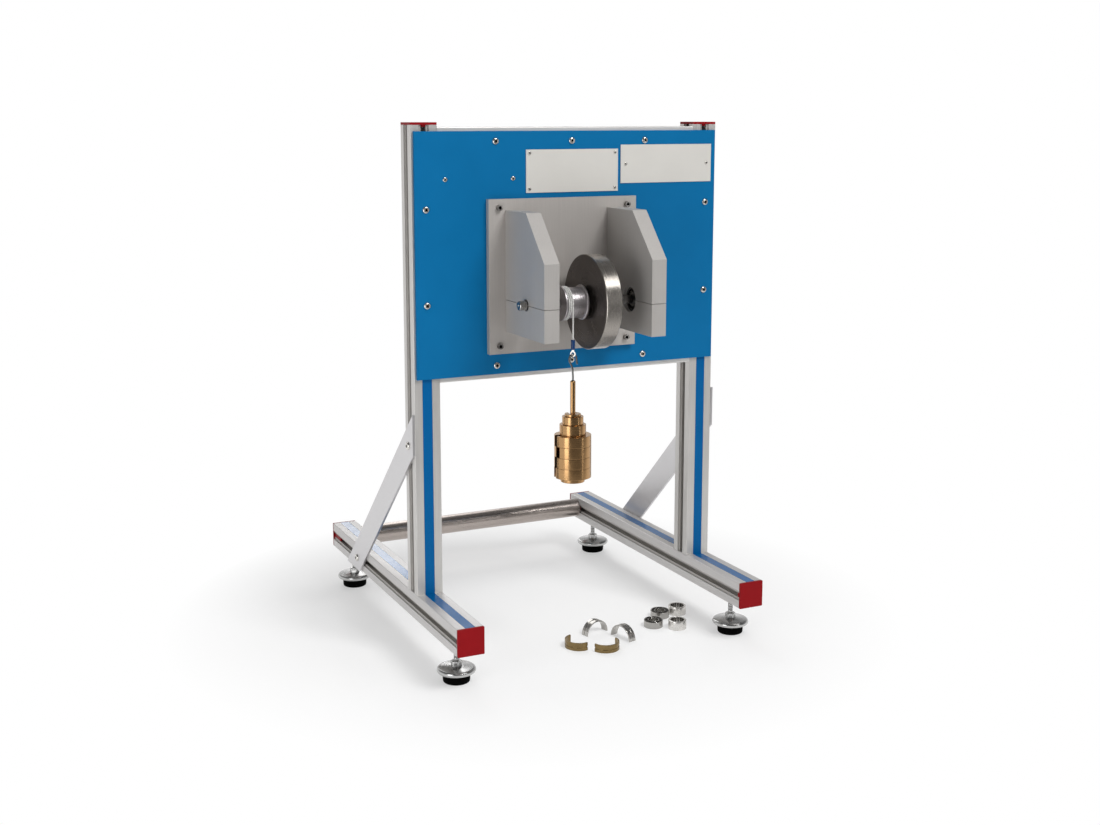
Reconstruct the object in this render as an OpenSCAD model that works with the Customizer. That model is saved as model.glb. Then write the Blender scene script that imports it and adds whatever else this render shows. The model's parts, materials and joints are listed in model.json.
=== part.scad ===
// Bench stand for studying friction in bearings. A frame of slotted profiles carries a panel,
// two split bearing blocks, a shaft with flywheel and drum, and slotted weights on a cord.
// X runs to the right, Y to the back and Z up. The origin is on the floor, mid-way under the stand.

/* [Frame] */
// Side of the square slotted profile
profile = 45; // [44:1:50]
// Width over the outer faces of the two posts
frame_w = 560; // [540:5:640]
// Length of each floor rail without its end caps
rail_l = 644; // [620:2:760]
// Length of rail in front of the posts
rail_front = 174; // [150:2:190]
// Height of the underside of the rails above the floor
rail_z = 64; // [58:1:85]
// Length of each post
post_h = 768; // [740:1:860]
// Thickness of the end caps on rails and posts
cap_t = 4; // [2:0.5:8]
// Rounding of the long edges of the profile
edge_r = 1.5; // [0.5:0.25:2.5]

/* [Profile slots] */
// Width of the shallow recess for a cover strip
recess_w = 17; // [15:0.5:18]
// Depth of that recess
recess_d = 2.5; // [1.5:0.5:3.5]
// Width of the slot between the lips
slot_w = 8.4; // [8.4:0.2:10]
// Depth of the inner side of the lips below the face
lip_d = 6.5; // [5.5:0.5:7]
// Width of the nut channel behind the lips
channel_w = 18; // [17:0.5:19]
// Depth of the floor of the nut channel
channel_d = 13; // [13:0.5:14]
// Bore along the core of the profile
core_bore = 8.4; // [8:0.2:10]

/* [Cross tube and braces] */
// Outer diameter of the cross tube
tube_d = 36; // [28:1:40]
// Wall of the cross tube
tube_wall = 2; // [1:0.5:4]
// Distance of the tube from the rear ends of the rails
tube_inset = 27; // [24:1:60]
// Width of a flat brace bar
brace_w = 50; // [40:1:60]
// Thickness of a brace bar
brace_t = 4; // [3:0.5:8]
// Distance along the rail between the two screws of a brace
brace_run = 288; // [250:2:320]
// Height of a brace's upper screw above its lower one
brace_rise = 272; // [240:2:310]

/* [Panel] */
// Distance of the panel's side edges inside the outer faces of the posts
panel_in = 4; // [2:1:15]
// Height of the panel
panel_h = 396; // [390:1:430]
// Thickness of the panel
panel_t = 5; // [3:0.5:8]
// Distance of the panel's top edge below the tops of the posts
panel_drop = 10; // [9:1:14]
// Distance of the top beam below the tops of the posts
beam_drop = 3.5; // [0:0.5:5]
// Height of the lower beam that shows below the panel
beam_show = 8; // [4:1:12]
// Distance of the outer beam screws from the middle of the panel
beam_screw_x = 137; // [120:1:170]
// Distance of the upper side screws below the panel's top edge
side_screw_drop = 123; // [100:1:140]
// Distance between the upper and lower side screws
side_screw_pitch = 153; // [120:1:170]
// Distance of the two rivets below the panel's top edge
rivet_drop = 76; // [60:1:90]
// Distance of the left rivet from the inner face of the left post
rivet_in = 10.5; // [8:0.5:20]
// Distance between the two rivets, as a part of the panel's width
rivet_part = 0.214; // [0.19:0.002:0.234]

/* [Name plates] */
// Width of the title plate, as a part of the panel's width
title_part = 0.306; // [0.27:0.002:0.312]
// Height of the title plate
title_h = 70; // [60:1:74]
// Distance of the title plate's middle from the panel's middle
title_x = 1; // [0:1:4]
// Distance of the title plate below the panel's top edge
title_drop = 30; // [26:1:34]
// Width of the maker plate, as a part of the panel's width
maker_part = 0.32; // [0.29:0.002:0.324]
// Height of the maker plate
maker_h = 64; // [50:1:68]
// Distance of the maker plate from the panel's right edge
maker_inset = 8.5; // [6:0.5:10]
// Distance of the maker plate below the panel's top edge
maker_drop = 23.5; // [22:0.5:30]
// Thickness of both plates
label_t = 1.5; // [1:0.25:3]

/* [Mounting plate and blocks] */
// Width of the mounting plate
plate_w = 270; // [262:1:290]
// Height of the mounting plate
plate_h = 253; // [246:1:258]
// Thickness of the mounting plate
plate_t = 10; // [6:0.5:14]
// Distance of the mounting plate's middle left of the panel's middle
plate_left = 19; // [0:1:24]
// Height of the mounting plate above the panel's bottom edge
plate_rise = 34.5; // [32:0.5:40]
// Distance of the plate screws from the plate's sides
plate_screw_in = 18; // [14:0.5:20]
// Distance of the plate screws from the plate's top and bottom
plate_screw_up = 13.5; // [13:0.5:18]
// Thickness of a bearing block along the shaft
block_t = 26; // [24:0.5:30]
// Clear distance between the two blocks
block_gap = 160; // [154:1:168]
// Depth of the left block in front of the mounting plate
left_block_d = 148; // [142:1:165]
// Depth of the right block in front of the mounting plate
right_block_d = 155; // [145:1:170]
// Height of a block above the shaft axis
block_up = 145.5; // [128:0.5:152]
// Height of a block cap below the shaft axis
block_down = 52.5; // [46:0.5:60]
// Depth of the sloped front of a block
block_slope = 67.5; // [55:0.5:75]
// Height of the block's front face above the shaft axis
block_front_up = 71; // [55:1:80]
// Gap at the split between block and cap
split_gap = 0.8; // [0.2:0.1:0.9]

/* [Shaft line] */
// Distance of the shaft axis in front of the mounting plate
shaft_out = 80; // [79:0.5:86]
// Height of the shaft axis above the mounting plate's bottom edge
shaft_up = 89.5; // [88:0.5:96]
// Diameter of the shaft
shaft_d = 15; // [13:0.5:18]
// Length of shaft that stands out of each block
shaft_stub = 13; // [4:0.5:16]
// Outer diameter of a mounted bearing and its seat
seat_d = 42; // [42:0.5:46]
// Width of a mounted bearing
bearing_w = 12; // [10:0.5:14]
// Depth of a mounted bearing below the inner face of its block
bearing_in = 6; // [2:0.5:7]
// Diameter of the flywheel
flywheel_d = 154; // [130:1:157]
// Thickness of the flywheel
flywheel_t = 27.5; // [20:0.5:34]
// Distance of the drum from the left block
drum_gap = 32; // [20:0.5:36]
// Diameter of the drum's winding face
drum_d = 50; // [46:0.5:54]
// Length of the drum's winding face
drum_l = 34; // [28:0.5:40]
// Thickness of the drum's left flange
flange_left_t = 2.5; // [2:0.5:4]
// Thickness of the drum's right flange
flange_right_t = 5; // [3:0.5:7]
// Height of the drum's flanges above the winding face
flange_up = 3.5; // [3:0.25:6]
// Length of the drum's hub beside the flywheel
hub_l = 5.5; // [4:0.5:10]

/* [Cord and weights] */
// Diameter of the cord
cord_d = 2.6; // [2:0.1:3]
// Turns of cord on the drum
cord_turns = 2.5; // [1.5:1:4.5]
// Distance between turns, from middle to middle
cord_pitch = 3.2; // [3.1:0.1:3.6]
// Length of cord from the shaft axis down to the crimp sleeve
cord_drop_l = 56; // [45:1:80]
// Diameter of the crimp sleeve
sleeve_d = 6.8; // [6:0.2:8]
// Length of the crimp sleeve
sleeve_l = 16; // [12:0.5:20]
// Outer diameter of the terminal's eye
eye_d = 9.5; // [9.5:0.25:12]
// Hole of the terminal's eye
eye_bore = 5.6; // [5.6:0.2:6.4]
// Diameter of the hook's wire
hook_wire = 3; // [2:0.2:3.2]
// Radius of the hook's bend, at the middle of the wire
hook_r = 6.5; // [6:0.25:9]
// Diameter of the hanger's rod
rod_d = 8.6; // [7:0.2:10]
// Length of the rod above the weights
rod_free = 54; // [50:1:80]
// Diameter of the hanger's foot
hanger_foot_d = 39; // [34:1:50]
// Thickness of the hanger's foot
hanger_foot_t = 7.5; // [4:0.5:12]
// Diameter of a large weight
large_d = 60; // [54:1:66]
// Thickness of a large weight
large_t = 17.5; // [14:0.5:22]
// Diameter of the medium weight
medium_d = 43; // [38:1:50]
// Thickness of the medium weight
medium_t = 17; // [12:0.5:20]
// Diameter of the small weight
small_d = 34.5; // [30:0.5:37]
// Thickness of the small weight
small_t = 13; // [10:0.5:16]
// Diameter of the top weight
top_d = 26.5; // [24:0.5:29]
// Thickness of the top weight
top_t = 4; // [3:0.5:8]

/* [Feet] */
// Distance of the front feet from the front ends of the rails
front_foot_in = 60; // [40:1:90]
// Distance of the rear feet from the rear ends of the rails
rear_foot_in = 58; // [40:1:90]
// Diameter of a foot's dished plate
dish_d = 63; // [54:1:70]
// Diameter of a foot's rubber pad
pad_d = 45; // [40:1:50]
// Thickness of a rubber pad
pad_t = 15.5; // [12:0.5:20]
// Diameter of a foot's threaded stud
stud_d = 8; // [6:0.5:8]
// Size of a foot's hexagon across its flats
foot_hex = 16; // [13:0.5:20]

/* [Loose bearings] */
// Outer diameter of a loose roller bearing
roller_d = 34; // [32:0.5:38]
// Bore of a loose roller bearing
roller_bore = 17; // [15:0.5:18]
// Width of a loose roller bearing
roller_w = 12.5; // [11:0.5:16]
// Outer diameter of a loose needle bearing
needle_d = 32; // [30:0.5:35]
// Bore inside the needles of a loose needle bearing
needle_bore = 24; // [22:0.5:25]
// Width of a loose needle bearing
needle_w = 16; // [14:0.5:20]
// Outer diameter of a half shell
shell_d = 48; // [44:0.5:50]
// Wall of a half shell
shell_wall = 2.5; // [2:0.25:4]
// Width of a half shell
shell_w = 14; // [11:0.5:18]

/* [Hidden] */
// Smoothness of round faces
$fn = 64;
// Overshoot of cuts
cut = 1;
// Clearance of pieces that slip onto or into each other
slip = 0.02;
// Clearance of a screw in its hole, on the diameter
screw_clear = 0.4;
// Clearance of strips, tongues and nuts in the slots
slot_clear = 0.3;
// Clearance of rollers in their rings
roller_clear = 0.15;

// Frame places
post_x = (frame_w - profile) / 2;
panel_w = frame_w - 2 * panel_in;
rail_y0 = -rail_l / 2;
post_y = rail_y0 + rail_front + profile / 2;
post_front = post_y - profile / 2;
rail_top = rail_z + profile;
rail_mid = rail_z + profile / 2;
post_top = rail_top + post_h;
beam_l = frame_w - 2 * profile;
foot_ys = [rail_y0 + front_foot_in, rail_y0 + rail_l - rear_foot_in];
tube_y = rail_y0 + rail_l - tube_inset;

// Panel places
panel_top = post_top - panel_drop;
panel_bottom = panel_top - panel_h;
panel_face = post_front - panel_t;
top_beam_z = post_top - beam_drop - profile / 2;
lower_beam_z = panel_bottom - beam_show + profile / 2;
rivet_pitch = rivet_part * panel_w;
title_w = title_part * panel_w;
maker_w = maker_part * panel_w;
maker_x = panel_w / 2 - maker_inset - maker_w / 2;
label_screw_in = 6;
maker_screw_in = 9.5;
label_face = panel_face - label_t;

// Mounting plate, block and shaft places
plate_x = -plate_left;
plate_bottom = panel_bottom + plate_rise;
plate_face = panel_face - plate_t;
shaft_y = plate_face - shaft_out;
shaft_z = plate_bottom + shaft_up;
left_inner = plate_x - block_gap / 2;
right_inner = plate_x + block_gap / 2;
drum_x = left_inner + drum_gap;
flywheel_x = drum_x + flange_left_t + drum_l + flange_right_t + hub_l;
race_mid = (shaft_d + seat_d) / 4;
race_gap = (seat_d - shaft_d) * 0.19;
roller_set_d = race_gap - 2 * roller_clear;

// Screw sizes: [shank, head diameter, head height, socket across corners]
button_m6 = [6, 11, 3.4, 4.6];
socket_m6 = [6, 10, 6, 5.8];
socket_m8 = [8, 13, 8, 6.9];
pan_m3 = [2.8, 5.6, 2, 2.3];
nut_m6_af = 10;
nut_m6_t = 5;
nut_len = 16;
nut_wide = 11.5;
nut_thick = 5;
screw_reach = lip_d + nut_thick;
block_screw_depth = 20;
cap_screw_spread = 45;
cap_screw_reach = 25;
cap_screw_sink = 9;
block_screw_ups = [32, 112];
core_screw_reach = 30;

// Screw places on the panel, as [x, z]
panel_screw_spots = concat(
    [for (z = [top_beam_z, lower_beam_z], i = [-1:1]) [i * beam_screw_x, z]],
    [for (s = [-1, 1], i = [0, 1]) [s * post_x, panel_top - side_screw_drop - i * side_screw_pitch]]
);
rivet_spots = [for (i = [0, 1]) [rivet_in - beam_l / 2 + i * rivet_pitch, panel_top - rivet_drop]];
title_screw_spots = [
    for (s = [-1, 1], t = [0, 1])
        [title_x + s * (title_w / 2 - label_screw_in),
         panel_top - title_drop - (t == 0 ? label_screw_in : title_h - label_screw_in)]
];
maker_screw_spots = [
    for (s = [-1, 1])
        [maker_x + s * (maker_w / 2 - maker_screw_in), panel_top - maker_drop - maker_h / 2]
];
plate_screw_spots = [
    for (s = [-1, 1], z = [plate_screw_up, plate_h - plate_screw_up])
        [plate_x + s * (plate_w / 2 - plate_screw_in), plate_bottom + z]
];
block_screw_spots = [
    for (x = [left_inner - block_t / 2, right_inner + block_t / 2], up = block_screw_ups)
        [x, shaft_z + up]
];

// Cord places
wind_r = drum_d / 2 + cord_d / 2 + 0.1;
wind_x0 = drum_x + flange_left_t + cord_d / 2 + slot_clear;
drop_x = wind_x0 + cord_turns * cord_pitch;
drop_y = shaft_y - wind_r;
drop_top = shaft_z - cord_d;
sleeve_top = shaft_z - cord_drop_l;
sleeve_bottom = sleeve_top - sleeve_l;
eye_t = 1;
eye_neck = 2;
eye_turn = 40;
hook_turn = 5;
eye_z = sleeve_bottom - eye_neck - eye_d / 2;
hook_top = eye_z - eye_bore / 2 + hook_wire / 2 + slot_clear;
hook_mid = hook_top - hook_r;
hook_tail = 10;
hook_lean = 22;
hook_stem = 13.5;
rod_top = hook_mid - hook_lean - hook_stem;
stack_h = 4 * large_t + medium_t + small_t + top_t;
stack_bottom = rod_top - rod_free - stack_h;
slot_wide = rod_d + 0.8;
slot_mouth = rod_d + 0.5;
large_slot_turns = [169, 177, 190, 177];
upper_slot_turns = [86, 97, 83];

// Foot sizes
dish_t = 9;
dish_rise = 2.5;
hex_t = 10;
stud_top = rail_top - channel_d;

// Places of the loose bearings on the floor, as [x, y, turn]
bronze_spots = [[-13.5, -211.5, 13], [22.5, -240, 103]];
steel_spots = [[40.5, -166, 14], [73.5, -209, -75]];
roller_spots = [[149, -182], [184, -144]];
needle_spots = [[182.5, -208], [220, -143.5]];
groove_w = 3;
groove_d = 0.9;

// Tube swept along points with its section carried along unturned, all faces triangles
function unit(v) = v / norm(v);
function path_dir(p, i) = unit(p[min(i + 1, len(p) - 1)] - p[max(i - 1, 0)]);
function upright(t, n) = unit(n - t * (n * t));
function path_normals(p, first) = [
    for (i = 0, n = upright(path_dir(p, 0), first); i < len(p);
         i = i + 1, n = i < len(p) ? upright(path_dir(p, i), n) : n) n
];
function tube_points(p, r, sides, first) =
    let (normals = path_normals(p, first))
    [for (i = [0:len(p) - 1])
        let (n = normals[i], b = cross(path_dir(p, i), n))
        for (j = [0:sides - 1]) p[i] + r * (cos(360 * j / sides) * n + sin(360 * j / sides) * b)];
function tube_faces(rings, sides) = concat(
    [for (j = [1:sides - 2]) [0, j, j + 1]],
    [for (j = [1:sides - 2]) [for (v = [0, j + 1, j]) (rings - 1) * sides + v]],
    [for (i = [0:rings - 2], j = [0:sides - 1], half = [0, 1])
        let (k = (j + 1) % sides, a = i * sides, b = a + sides)
        half == 0 ? [a + j, b + j, b + k] : [a + j, b + k, a + k]]
);
module swept_tube(p, d, sides, first) {
    polyhedron(tube_points(p, d / 2, sides, first), tube_faces(len(p), sides));
}

// Slotted profile and what runs in its slots
module rounded_square(w, r) {
    square([w, w - 2 * r], center = true);
    square([w - 2 * r, w], center = true);
    for (x = [-1, 1], y = [-1, 1]) translate([x, y] * (w / 2 - r)) circle(r);
}

module slot_shape() {
    taper = (channel_d - lip_d) * 0.6;
    translate([-recess_d, -recess_w / 2]) square([recess_d + cut, recess_w]);
    translate([-lip_d, -slot_w / 2]) square([lip_d, slot_w]);
    polygon([
        [-lip_d, -channel_w / 2], [-lip_d, channel_w / 2],
        [taper - channel_d, channel_w / 2], [-channel_d, channel_w / 2 - taper],
        [-channel_d, taper - channel_w / 2], [taper - channel_d, -channel_w / 2]
    ]);
}

module bar(l) {
    linear_extrude(l) difference() {
        rounded_square(profile, edge_r);
        circle(d = core_bore);
        for (a = [0:90:270]) rotate(a) translate([profile / 2, 0]) slot_shape();
    }
}

module along_y(x, y, z) { translate([x, y, z]) rotate([-90, 0, 0]) children(); }
module along_x(x, y, z) { translate([x, y, z]) rotate([0, 90, 0]) children(); }
module to_front(x, y, z) { translate([x, y, z]) rotate([90, 0, 0]) children(); }
module to_back(x, y, z) { translate([x, y, z]) rotate([-90, 0, 0]) children(); }
module to_side(s, x, y, z) { translate([x, y, z]) rotate([0, s * 90, 0]) children(); }

module socket(head_h, across) {
    translate([0, 0, head_h * 0.4]) cylinder(d = across, h = head_h, $fn = 6);
}

module button_screw(size, l) {
    r = size[1] / 2;
    h = size[2];
    ball = (r * r + h * h) / (2 * h);
    difference() {
        intersection() {
            translate([0, 0, h - ball]) sphere(ball);
            cylinder(r = r, h = h);
        }
        socket(h, size[3]);
    }
    translate([0, 0, -l]) cylinder(d = size[0], h = l);
}

module cap_screw(size, l) {
    difference() {
        cylinder(d = size[1], h = size[2]);
        socket(size[2], size[3]);
    }
    translate([0, 0, -l]) cylinder(d = size[0], h = l);
}

module slot_nut(bore) {
    difference() {
        translate([-nut_len / 2, -nut_wide / 2, -nut_thick]) cube([nut_len, nut_wide, nut_thick]);
        translate([0, 0, -nut_thick - cut]) cylinder(d = bore, h = nut_thick + 2 * cut);
    }
}

module cover_strip(l) {
    linear_extrude(l) union() {
        translate([-recess_d, slot_clear - recess_w / 2]) square([recess_d, recess_w - 2 * slot_clear]);
        translate([slot_clear - lip_d, slot_clear - slot_w / 2])
            square([lip_d - slot_clear, slot_w - 2 * slot_clear]);
    }
}

module core_screw() {
    head = channel_d - lip_d - slot_clear;
    translate([0, 0, -head]) cylinder(d = socket_m8[1], h = head);
    cylinder(d = core_bore - screw_clear, h = profile - channel_d + core_screw_reach);
}

// Hole for such a screw across a profile, with a seat for its head in the nut channel
module core_screw_hole() {
    translate([0, 0, lip_d - channel_d]) cylinder(d = socket_m8[1] + screw_clear, h = channel_d - lip_d);
    translate([0, 0, -cut / 2]) cylinder(d = core_bore, h = profile - 2 * channel_d + cut);
}

// Frame
module rail(s) {
    color("silver") difference() {
        along_y(s * post_x, rail_y0, rail_mid) bar(rail_l);
        for (y = foot_ys) translate([s * post_x, y, rail_mid])
            cylinder(d = stud_d + screw_clear, h = profile - 2 * channel_d + cut, center = true);
        translate([s * post_x, post_y, rail_z + channel_d]) core_screw_hole();
    }
}

module post(s) {
    color("silver") difference() {
        translate([s * post_x, post_y, rail_top]) bar(post_h);
        for (z = [top_beam_z, lower_beam_z])
            to_side(-s, s * (frame_w / 2 - channel_d), post_y, z) core_screw_hole();
    }
}

module beam(z) {
    color("silver") along_x(-beam_l / 2, post_y, z) bar(beam_l);
}

module cross_tube() {
    color("darkgray") along_x(-beam_l / 2, tube_y, rail_mid) difference() {
        cylinder(d = tube_d, h = beam_l);
        translate([0, 0, -cut]) cylinder(d = tube_d - 2 * tube_wall, h = beam_l + 2 * cut);
    }
}

// Edge s (1 upper, -1 lower) of a brace where it meets the post's front plane and the rail's underside
brace_l = norm([brace_run, brace_rise]);
brace_hi = rail_mid + brace_rise;
function brace_top(s) =
    let (t = (-profile / 2 - s * brace_w / 2 * brace_rise / brace_l) * brace_l / brace_run)
    [post_front, brace_hi + s * brace_w / 2 * brace_run / brace_l - t * brace_rise / brace_l];
function brace_foot(s) =
    let (t = (brace_hi - rail_z + s * brace_w / 2 * brace_run / brace_l) * brace_l / brace_rise)
    [post_y + s * brace_w / 2 * brace_rise / brace_l + t * brace_run / brace_l, rail_z];
brace_screw_spots = [[post_y, brace_hi], [post_y + brace_run, rail_mid]];

module brace(s) {
    x0 = s > 0 ? frame_w / 2 : -frame_w / 2 - brace_t;
    color("lightgray") translate([x0, 0, 0]) rotate([90, 0, 90]) difference() {
        linear_extrude(brace_t) polygon([brace_top(1), brace_top(-1), brace_foot(-1), brace_foot(1)]);
        for (p = brace_screw_spots) translate([p[0], p[1], -cut])
            cylinder(d = button_m6[0] + screw_clear, h = brace_t + 2 * cut);
    }
}

module brace_screws() {
    color("silver") for (s = [-1, 1], p = brace_screw_spots)
        to_side(s, s * (frame_w / 2 + brace_t), p[0], p[1]) button_screw(button_m6, brace_t + screw_reach);
}

// A cap's tongue fills the slot between the lips for the length given
module slot_tongue(l) {
    translate([-lip_d, slot_clear - slot_w / 2, 0]) cube([lip_d - recess_d, slot_w - 2 * slot_clear, l]);
}

module end_cap(tongue_l) {
    translate([0, 0, -cap_t]) linear_extrude(cap_t) rounded_square(profile, edge_r);
    for (a = [0, 180]) rotate(a) translate([profile / 2, 0, 0]) slot_tongue(tongue_l);
}

module rail_end_caps() {
    front_tongue = 8;
    rear_tongue = 36;
    color("firebrick") for (s = [-1, 1]) {
        along_y(s * post_x, rail_y0, rail_mid) end_cap(front_tongue);
        to_front(s * post_x, rail_y0 + rail_l, rail_mid) end_cap(rear_tongue);
    }
}

module post_caps() {
    tongue = 3;
    color("firebrick") for (s = [-1, 1]) translate([s * post_x, post_y, post_top]) {
        linear_extrude(cap_t) rounded_square(profile, edge_r);
        for (a = [90, 270]) rotate(a) translate([profile / 2, 0, -tongue]) slot_tongue(tongue);
    }
}

module cover_strips() {
    behind = rail_l - rail_front - profile;
    under_panel = 6;
    color("steelblue") for (s = [-1, 1]) {
        along_y(s * post_x, rail_y0, rail_top) rotate(-90) cover_strip(rail_front);
        along_y(s * post_x, post_y + profile / 2, rail_top) rotate(-90) cover_strip(behind);
        translate([s * post_x, post_front, rail_top]) rotate(-90)
            cover_strip(panel_bottom - rail_top + under_panel);
    }
}

module core_screws() {
    color("dimgray") for (s = [-1, 1]) {
        translate([s * post_x, post_y, rail_z + channel_d]) core_screw();
        for (z = [top_beam_z, lower_beam_z])
            to_side(-s, s * (frame_w / 2 - channel_d), post_y, z) core_screw();
    }
}

module slot_nuts() {
    bore = button_m6[0] + screw_clear;
    color("dimgray") {
        for (p = panel_screw_spots) to_front(p[0], post_front + lip_d, p[1])
            rotate(abs(p[0]) == post_x ? 90 : 0) slot_nut(bore);
        for (s = [-1, 1]) {
            to_side(s, s * (frame_w / 2 - lip_d), post_y, brace_hi) slot_nut(bore);
            to_side(s, s * (frame_w / 2 - lip_d), post_y + brace_run, rail_mid) rotate(90) slot_nut(bore);
            for (y = foot_ys) translate([s * post_x, y, rail_z + lip_d]) rotate([180, 0, 90])
                slot_nut(stud_d + screw_clear);
        }
    }
}

// Panel and its plates
module panel_holes(spots, d) {
    for (p = spots) to_front(p[0], post_front + cut, p[1]) cylinder(d = d, h = panel_t + plate_t + 2 * cut);
}

module panel() {
    color("steelblue") difference() {
        translate([-panel_w / 2, panel_face, panel_bottom]) cube([panel_w, panel_t, panel_h]);
        panel_holes(panel_screw_spots, button_m6[0] + screw_clear);
        panel_holes(plate_screw_spots, socket_m6[0] + screw_clear);
        panel_holes(block_screw_spots, socket_m8[0] + screw_clear);
        panel_holes(rivet_spots, rivet_d + screw_clear);
        panel_holes(concat(title_screw_spots, maker_screw_spots), pan_m3[0] + screw_clear);
    }
}

module panel_screws() {
    color("silver") for (p = panel_screw_spots)
        to_front(p[0], panel_face, p[1]) button_screw(button_m6, panel_t + screw_reach);
}

rivet_d = 4;
module panel_rivets() {
    head = [rivet_d, 8, 2, 2];
    color("silver") for (p = rivet_spots) {
        to_front(p[0], panel_face, p[1]) button_screw(head, panel_t);
        to_back(p[0], post_front, p[1]) cylinder(d = rivet_d + 2, h = 2);
    }
}

module label(x, z, w, h, spots) {
    difference() {
        translate([x - w / 2, label_face, z - h]) cube([w, label_t, h]);
        panel_holes(spots, pan_m3[0] + screw_clear);
    }
}

module title_plate() {
    color("whitesmoke") label(title_x, panel_top - title_drop, title_w, title_h, title_screw_spots);
}

module maker_plate() {
    color("whitesmoke") label(maker_x, panel_top - maker_drop, maker_w, maker_h, maker_screw_spots);
}

module label_screws() {
    color("silver") for (p = concat(title_screw_spots, maker_screw_spots))
        to_front(p[0], label_face, p[1]) button_screw(pan_m3, label_t + panel_t);
}

// Mounting plate and bearing blocks
module mounting_plate() {
    color("darkgray") difference() {
        translate([plate_x - plate_w / 2, plate_face, plate_bottom]) cube([plate_w, plate_t, plate_h]);
        panel_holes(plate_screw_spots, socket_m6[0] + screw_clear);
        panel_holes(block_screw_spots, socket_m8[0] + screw_clear);
    }
}

module plate_screws() {
    color("dimgray") for (p = plate_screw_spots)
        to_front(p[0], plate_face, p[1]) cap_screw(socket_m6, plate_t + panel_t + nut_m6_t);
}

module plate_nuts() {
    color("dimgray") for (p = plate_screw_spots) to_back(p[0], post_front, p[1]) difference() {
        cylinder(d = nut_m6_af / cos(30), h = nut_m6_t, $fn = 6);
        translate([0, 0, -cut]) cylinder(d = socket_m6[0] + screw_clear, h = nut_m6_t + 2 * cut);
    }
}

module block_screws() {
    color("dimgray") for (p = block_screw_spots)
        to_back(p[0], post_front, p[1]) cap_screw(socket_m8, panel_t + plate_t + block_screw_depth);
}

function block_depth(s) = s < 0 ? left_block_d : right_block_d;

// Outline seen along the shaft, as [distance in front of the plate, height above the axis]
module block_body(x0, outline) {
    translate([x0, plate_face, shaft_z]) rotate([90, 0, 90]) linear_extrude(block_t)
        polygon([for (p = outline) [-p[0], p[1]]]);
}

module bearing_seat(s) {
    inner = s < 0 ? left_inner : right_inner;
    to_side(s, inner - s * cut, shaft_y, shaft_z) {
        cylinder(d = seat_d, h = cut + bearing_in + bearing_w);
        cylinder(d = shaft_d + 4, h = block_t + 2 * cut);
    }
}

module cap_screw_holes(x, depth) {
    for (y = [-1, 1]) translate([x, shaft_y + y * cap_screw_spread, shaft_z - block_down - cut])
        cylinder(d = socket_m8[0] + screw_clear, h = block_down + cut + depth);
}

module block(s) {
    x0 = s < 0 ? left_inner - block_t : right_inner;
    depth = block_depth(s);
    low = split_gap / 2;
    color("darkgray") difference() {
        block_body(x0, [[0, low], [depth, low], [depth, block_front_up],
                        [depth - block_slope, block_up], [0, block_up]]);
        bearing_seat(s);
        cap_screw_holes(x0 + block_t / 2, cap_screw_reach);
        for (p = block_screw_spots) to_front(p[0], post_front, p[1])
            cylinder(d = socket_m8[0] + screw_clear, h = panel_t + plate_t + block_screw_depth + cut);
    }
}

module block_cap(s) {
    x0 = s < 0 ? left_inner - block_t : right_inner;
    depth = block_depth(s);
    high = -split_gap / 2;
    color("darkgray") difference() {
        block_body(x0, [[0, -block_down], [depth, -block_down], [depth, high], [0, high]]);
        bearing_seat(s);
        cap_screw_holes(x0 + block_t / 2, cut);
        for (y = [-1, 1])
            translate([x0 + block_t / 2, shaft_y + y * cap_screw_spread, shaft_z - block_down - cut])
                cylinder(d = socket_m8[1] + 2 * screw_clear, h = cap_screw_sink + cut);
    }
}

module block_cap_screws() {
    color("dimgray") for (x = [left_inner - block_t / 2, right_inner + block_t / 2], y = [-1, 1])
        translate([x, shaft_y + y * cap_screw_spread, shaft_z - block_down + cap_screw_sink])
            rotate([180, 0, 0]) cap_screw(socket_m8, block_down - cap_screw_sink + cap_screw_reach - cut);
}

// Mounted bearings, shaft, flywheel and drum
module bearing_ring(outer, inner, w) {
    difference() {
        cylinder(r = outer, h = w);
        translate([0, 0, -cut]) cylinder(r = inner, h = w + 2 * cut);
    }
}

module on_bearings() {
    for (s = [-1, 1]) to_side(s, (s < 0 ? left_inner : right_inner) + s * bearing_in, shaft_y, shaft_z)
        children();
}

module bearing_outer_rings() {
    color("silver") on_bearings() bearing_ring(seat_d / 2 - slip, race_mid + race_gap / 2, bearing_w);
}

module bearing_inner_rings() {
    color("silver") on_bearings() bearing_ring(race_mid - race_gap / 2, shaft_d / 2 + slip, bearing_w);
}

module bearing_rollers() {
    count = 14;
    side = 1;
    cage = 1.2;
    color("gray") on_bearings() translate([0, 0, side]) {
        bearing_ring(race_mid + cage / 2, race_mid - cage / 2, bearing_w - 2 * side);
        for (i = [0:count - 1]) rotate(i * 360 / count) translate([race_mid, 0, side])
            cylinder(d = roller_set_d, h = bearing_w - 4 * side);
    }
}

module shaft() {
    chamfer = 1;
    l = block_gap + 2 * (block_t + shaft_stub);
    color("silver") along_x(plate_x - l / 2, shaft_y, shaft_z) {
        cylinder(d1 = shaft_d - 2 * chamfer, d2 = shaft_d, h = chamfer);
        translate([0, 0, chamfer]) cylinder(d = shaft_d, h = l - 2 * chamfer);
        translate([0, 0, l - chamfer]) cylinder(d1 = shaft_d, d2 = shaft_d - 2 * chamfer, h = chamfer);
    }
}

module flywheel() {
    chamfer = 1;
    r = flywheel_d / 2;
    bore = shaft_d / 2 + slip;
    color("dimgray") along_x(flywheel_x, shaft_y, shaft_z) rotate_extrude() polygon([
        [bore, 0], [r - chamfer, 0], [r, chamfer], [r, flywheel_t - chamfer],
        [r - chamfer, flywheel_t], [bore, flywheel_t]
    ]);
}

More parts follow.
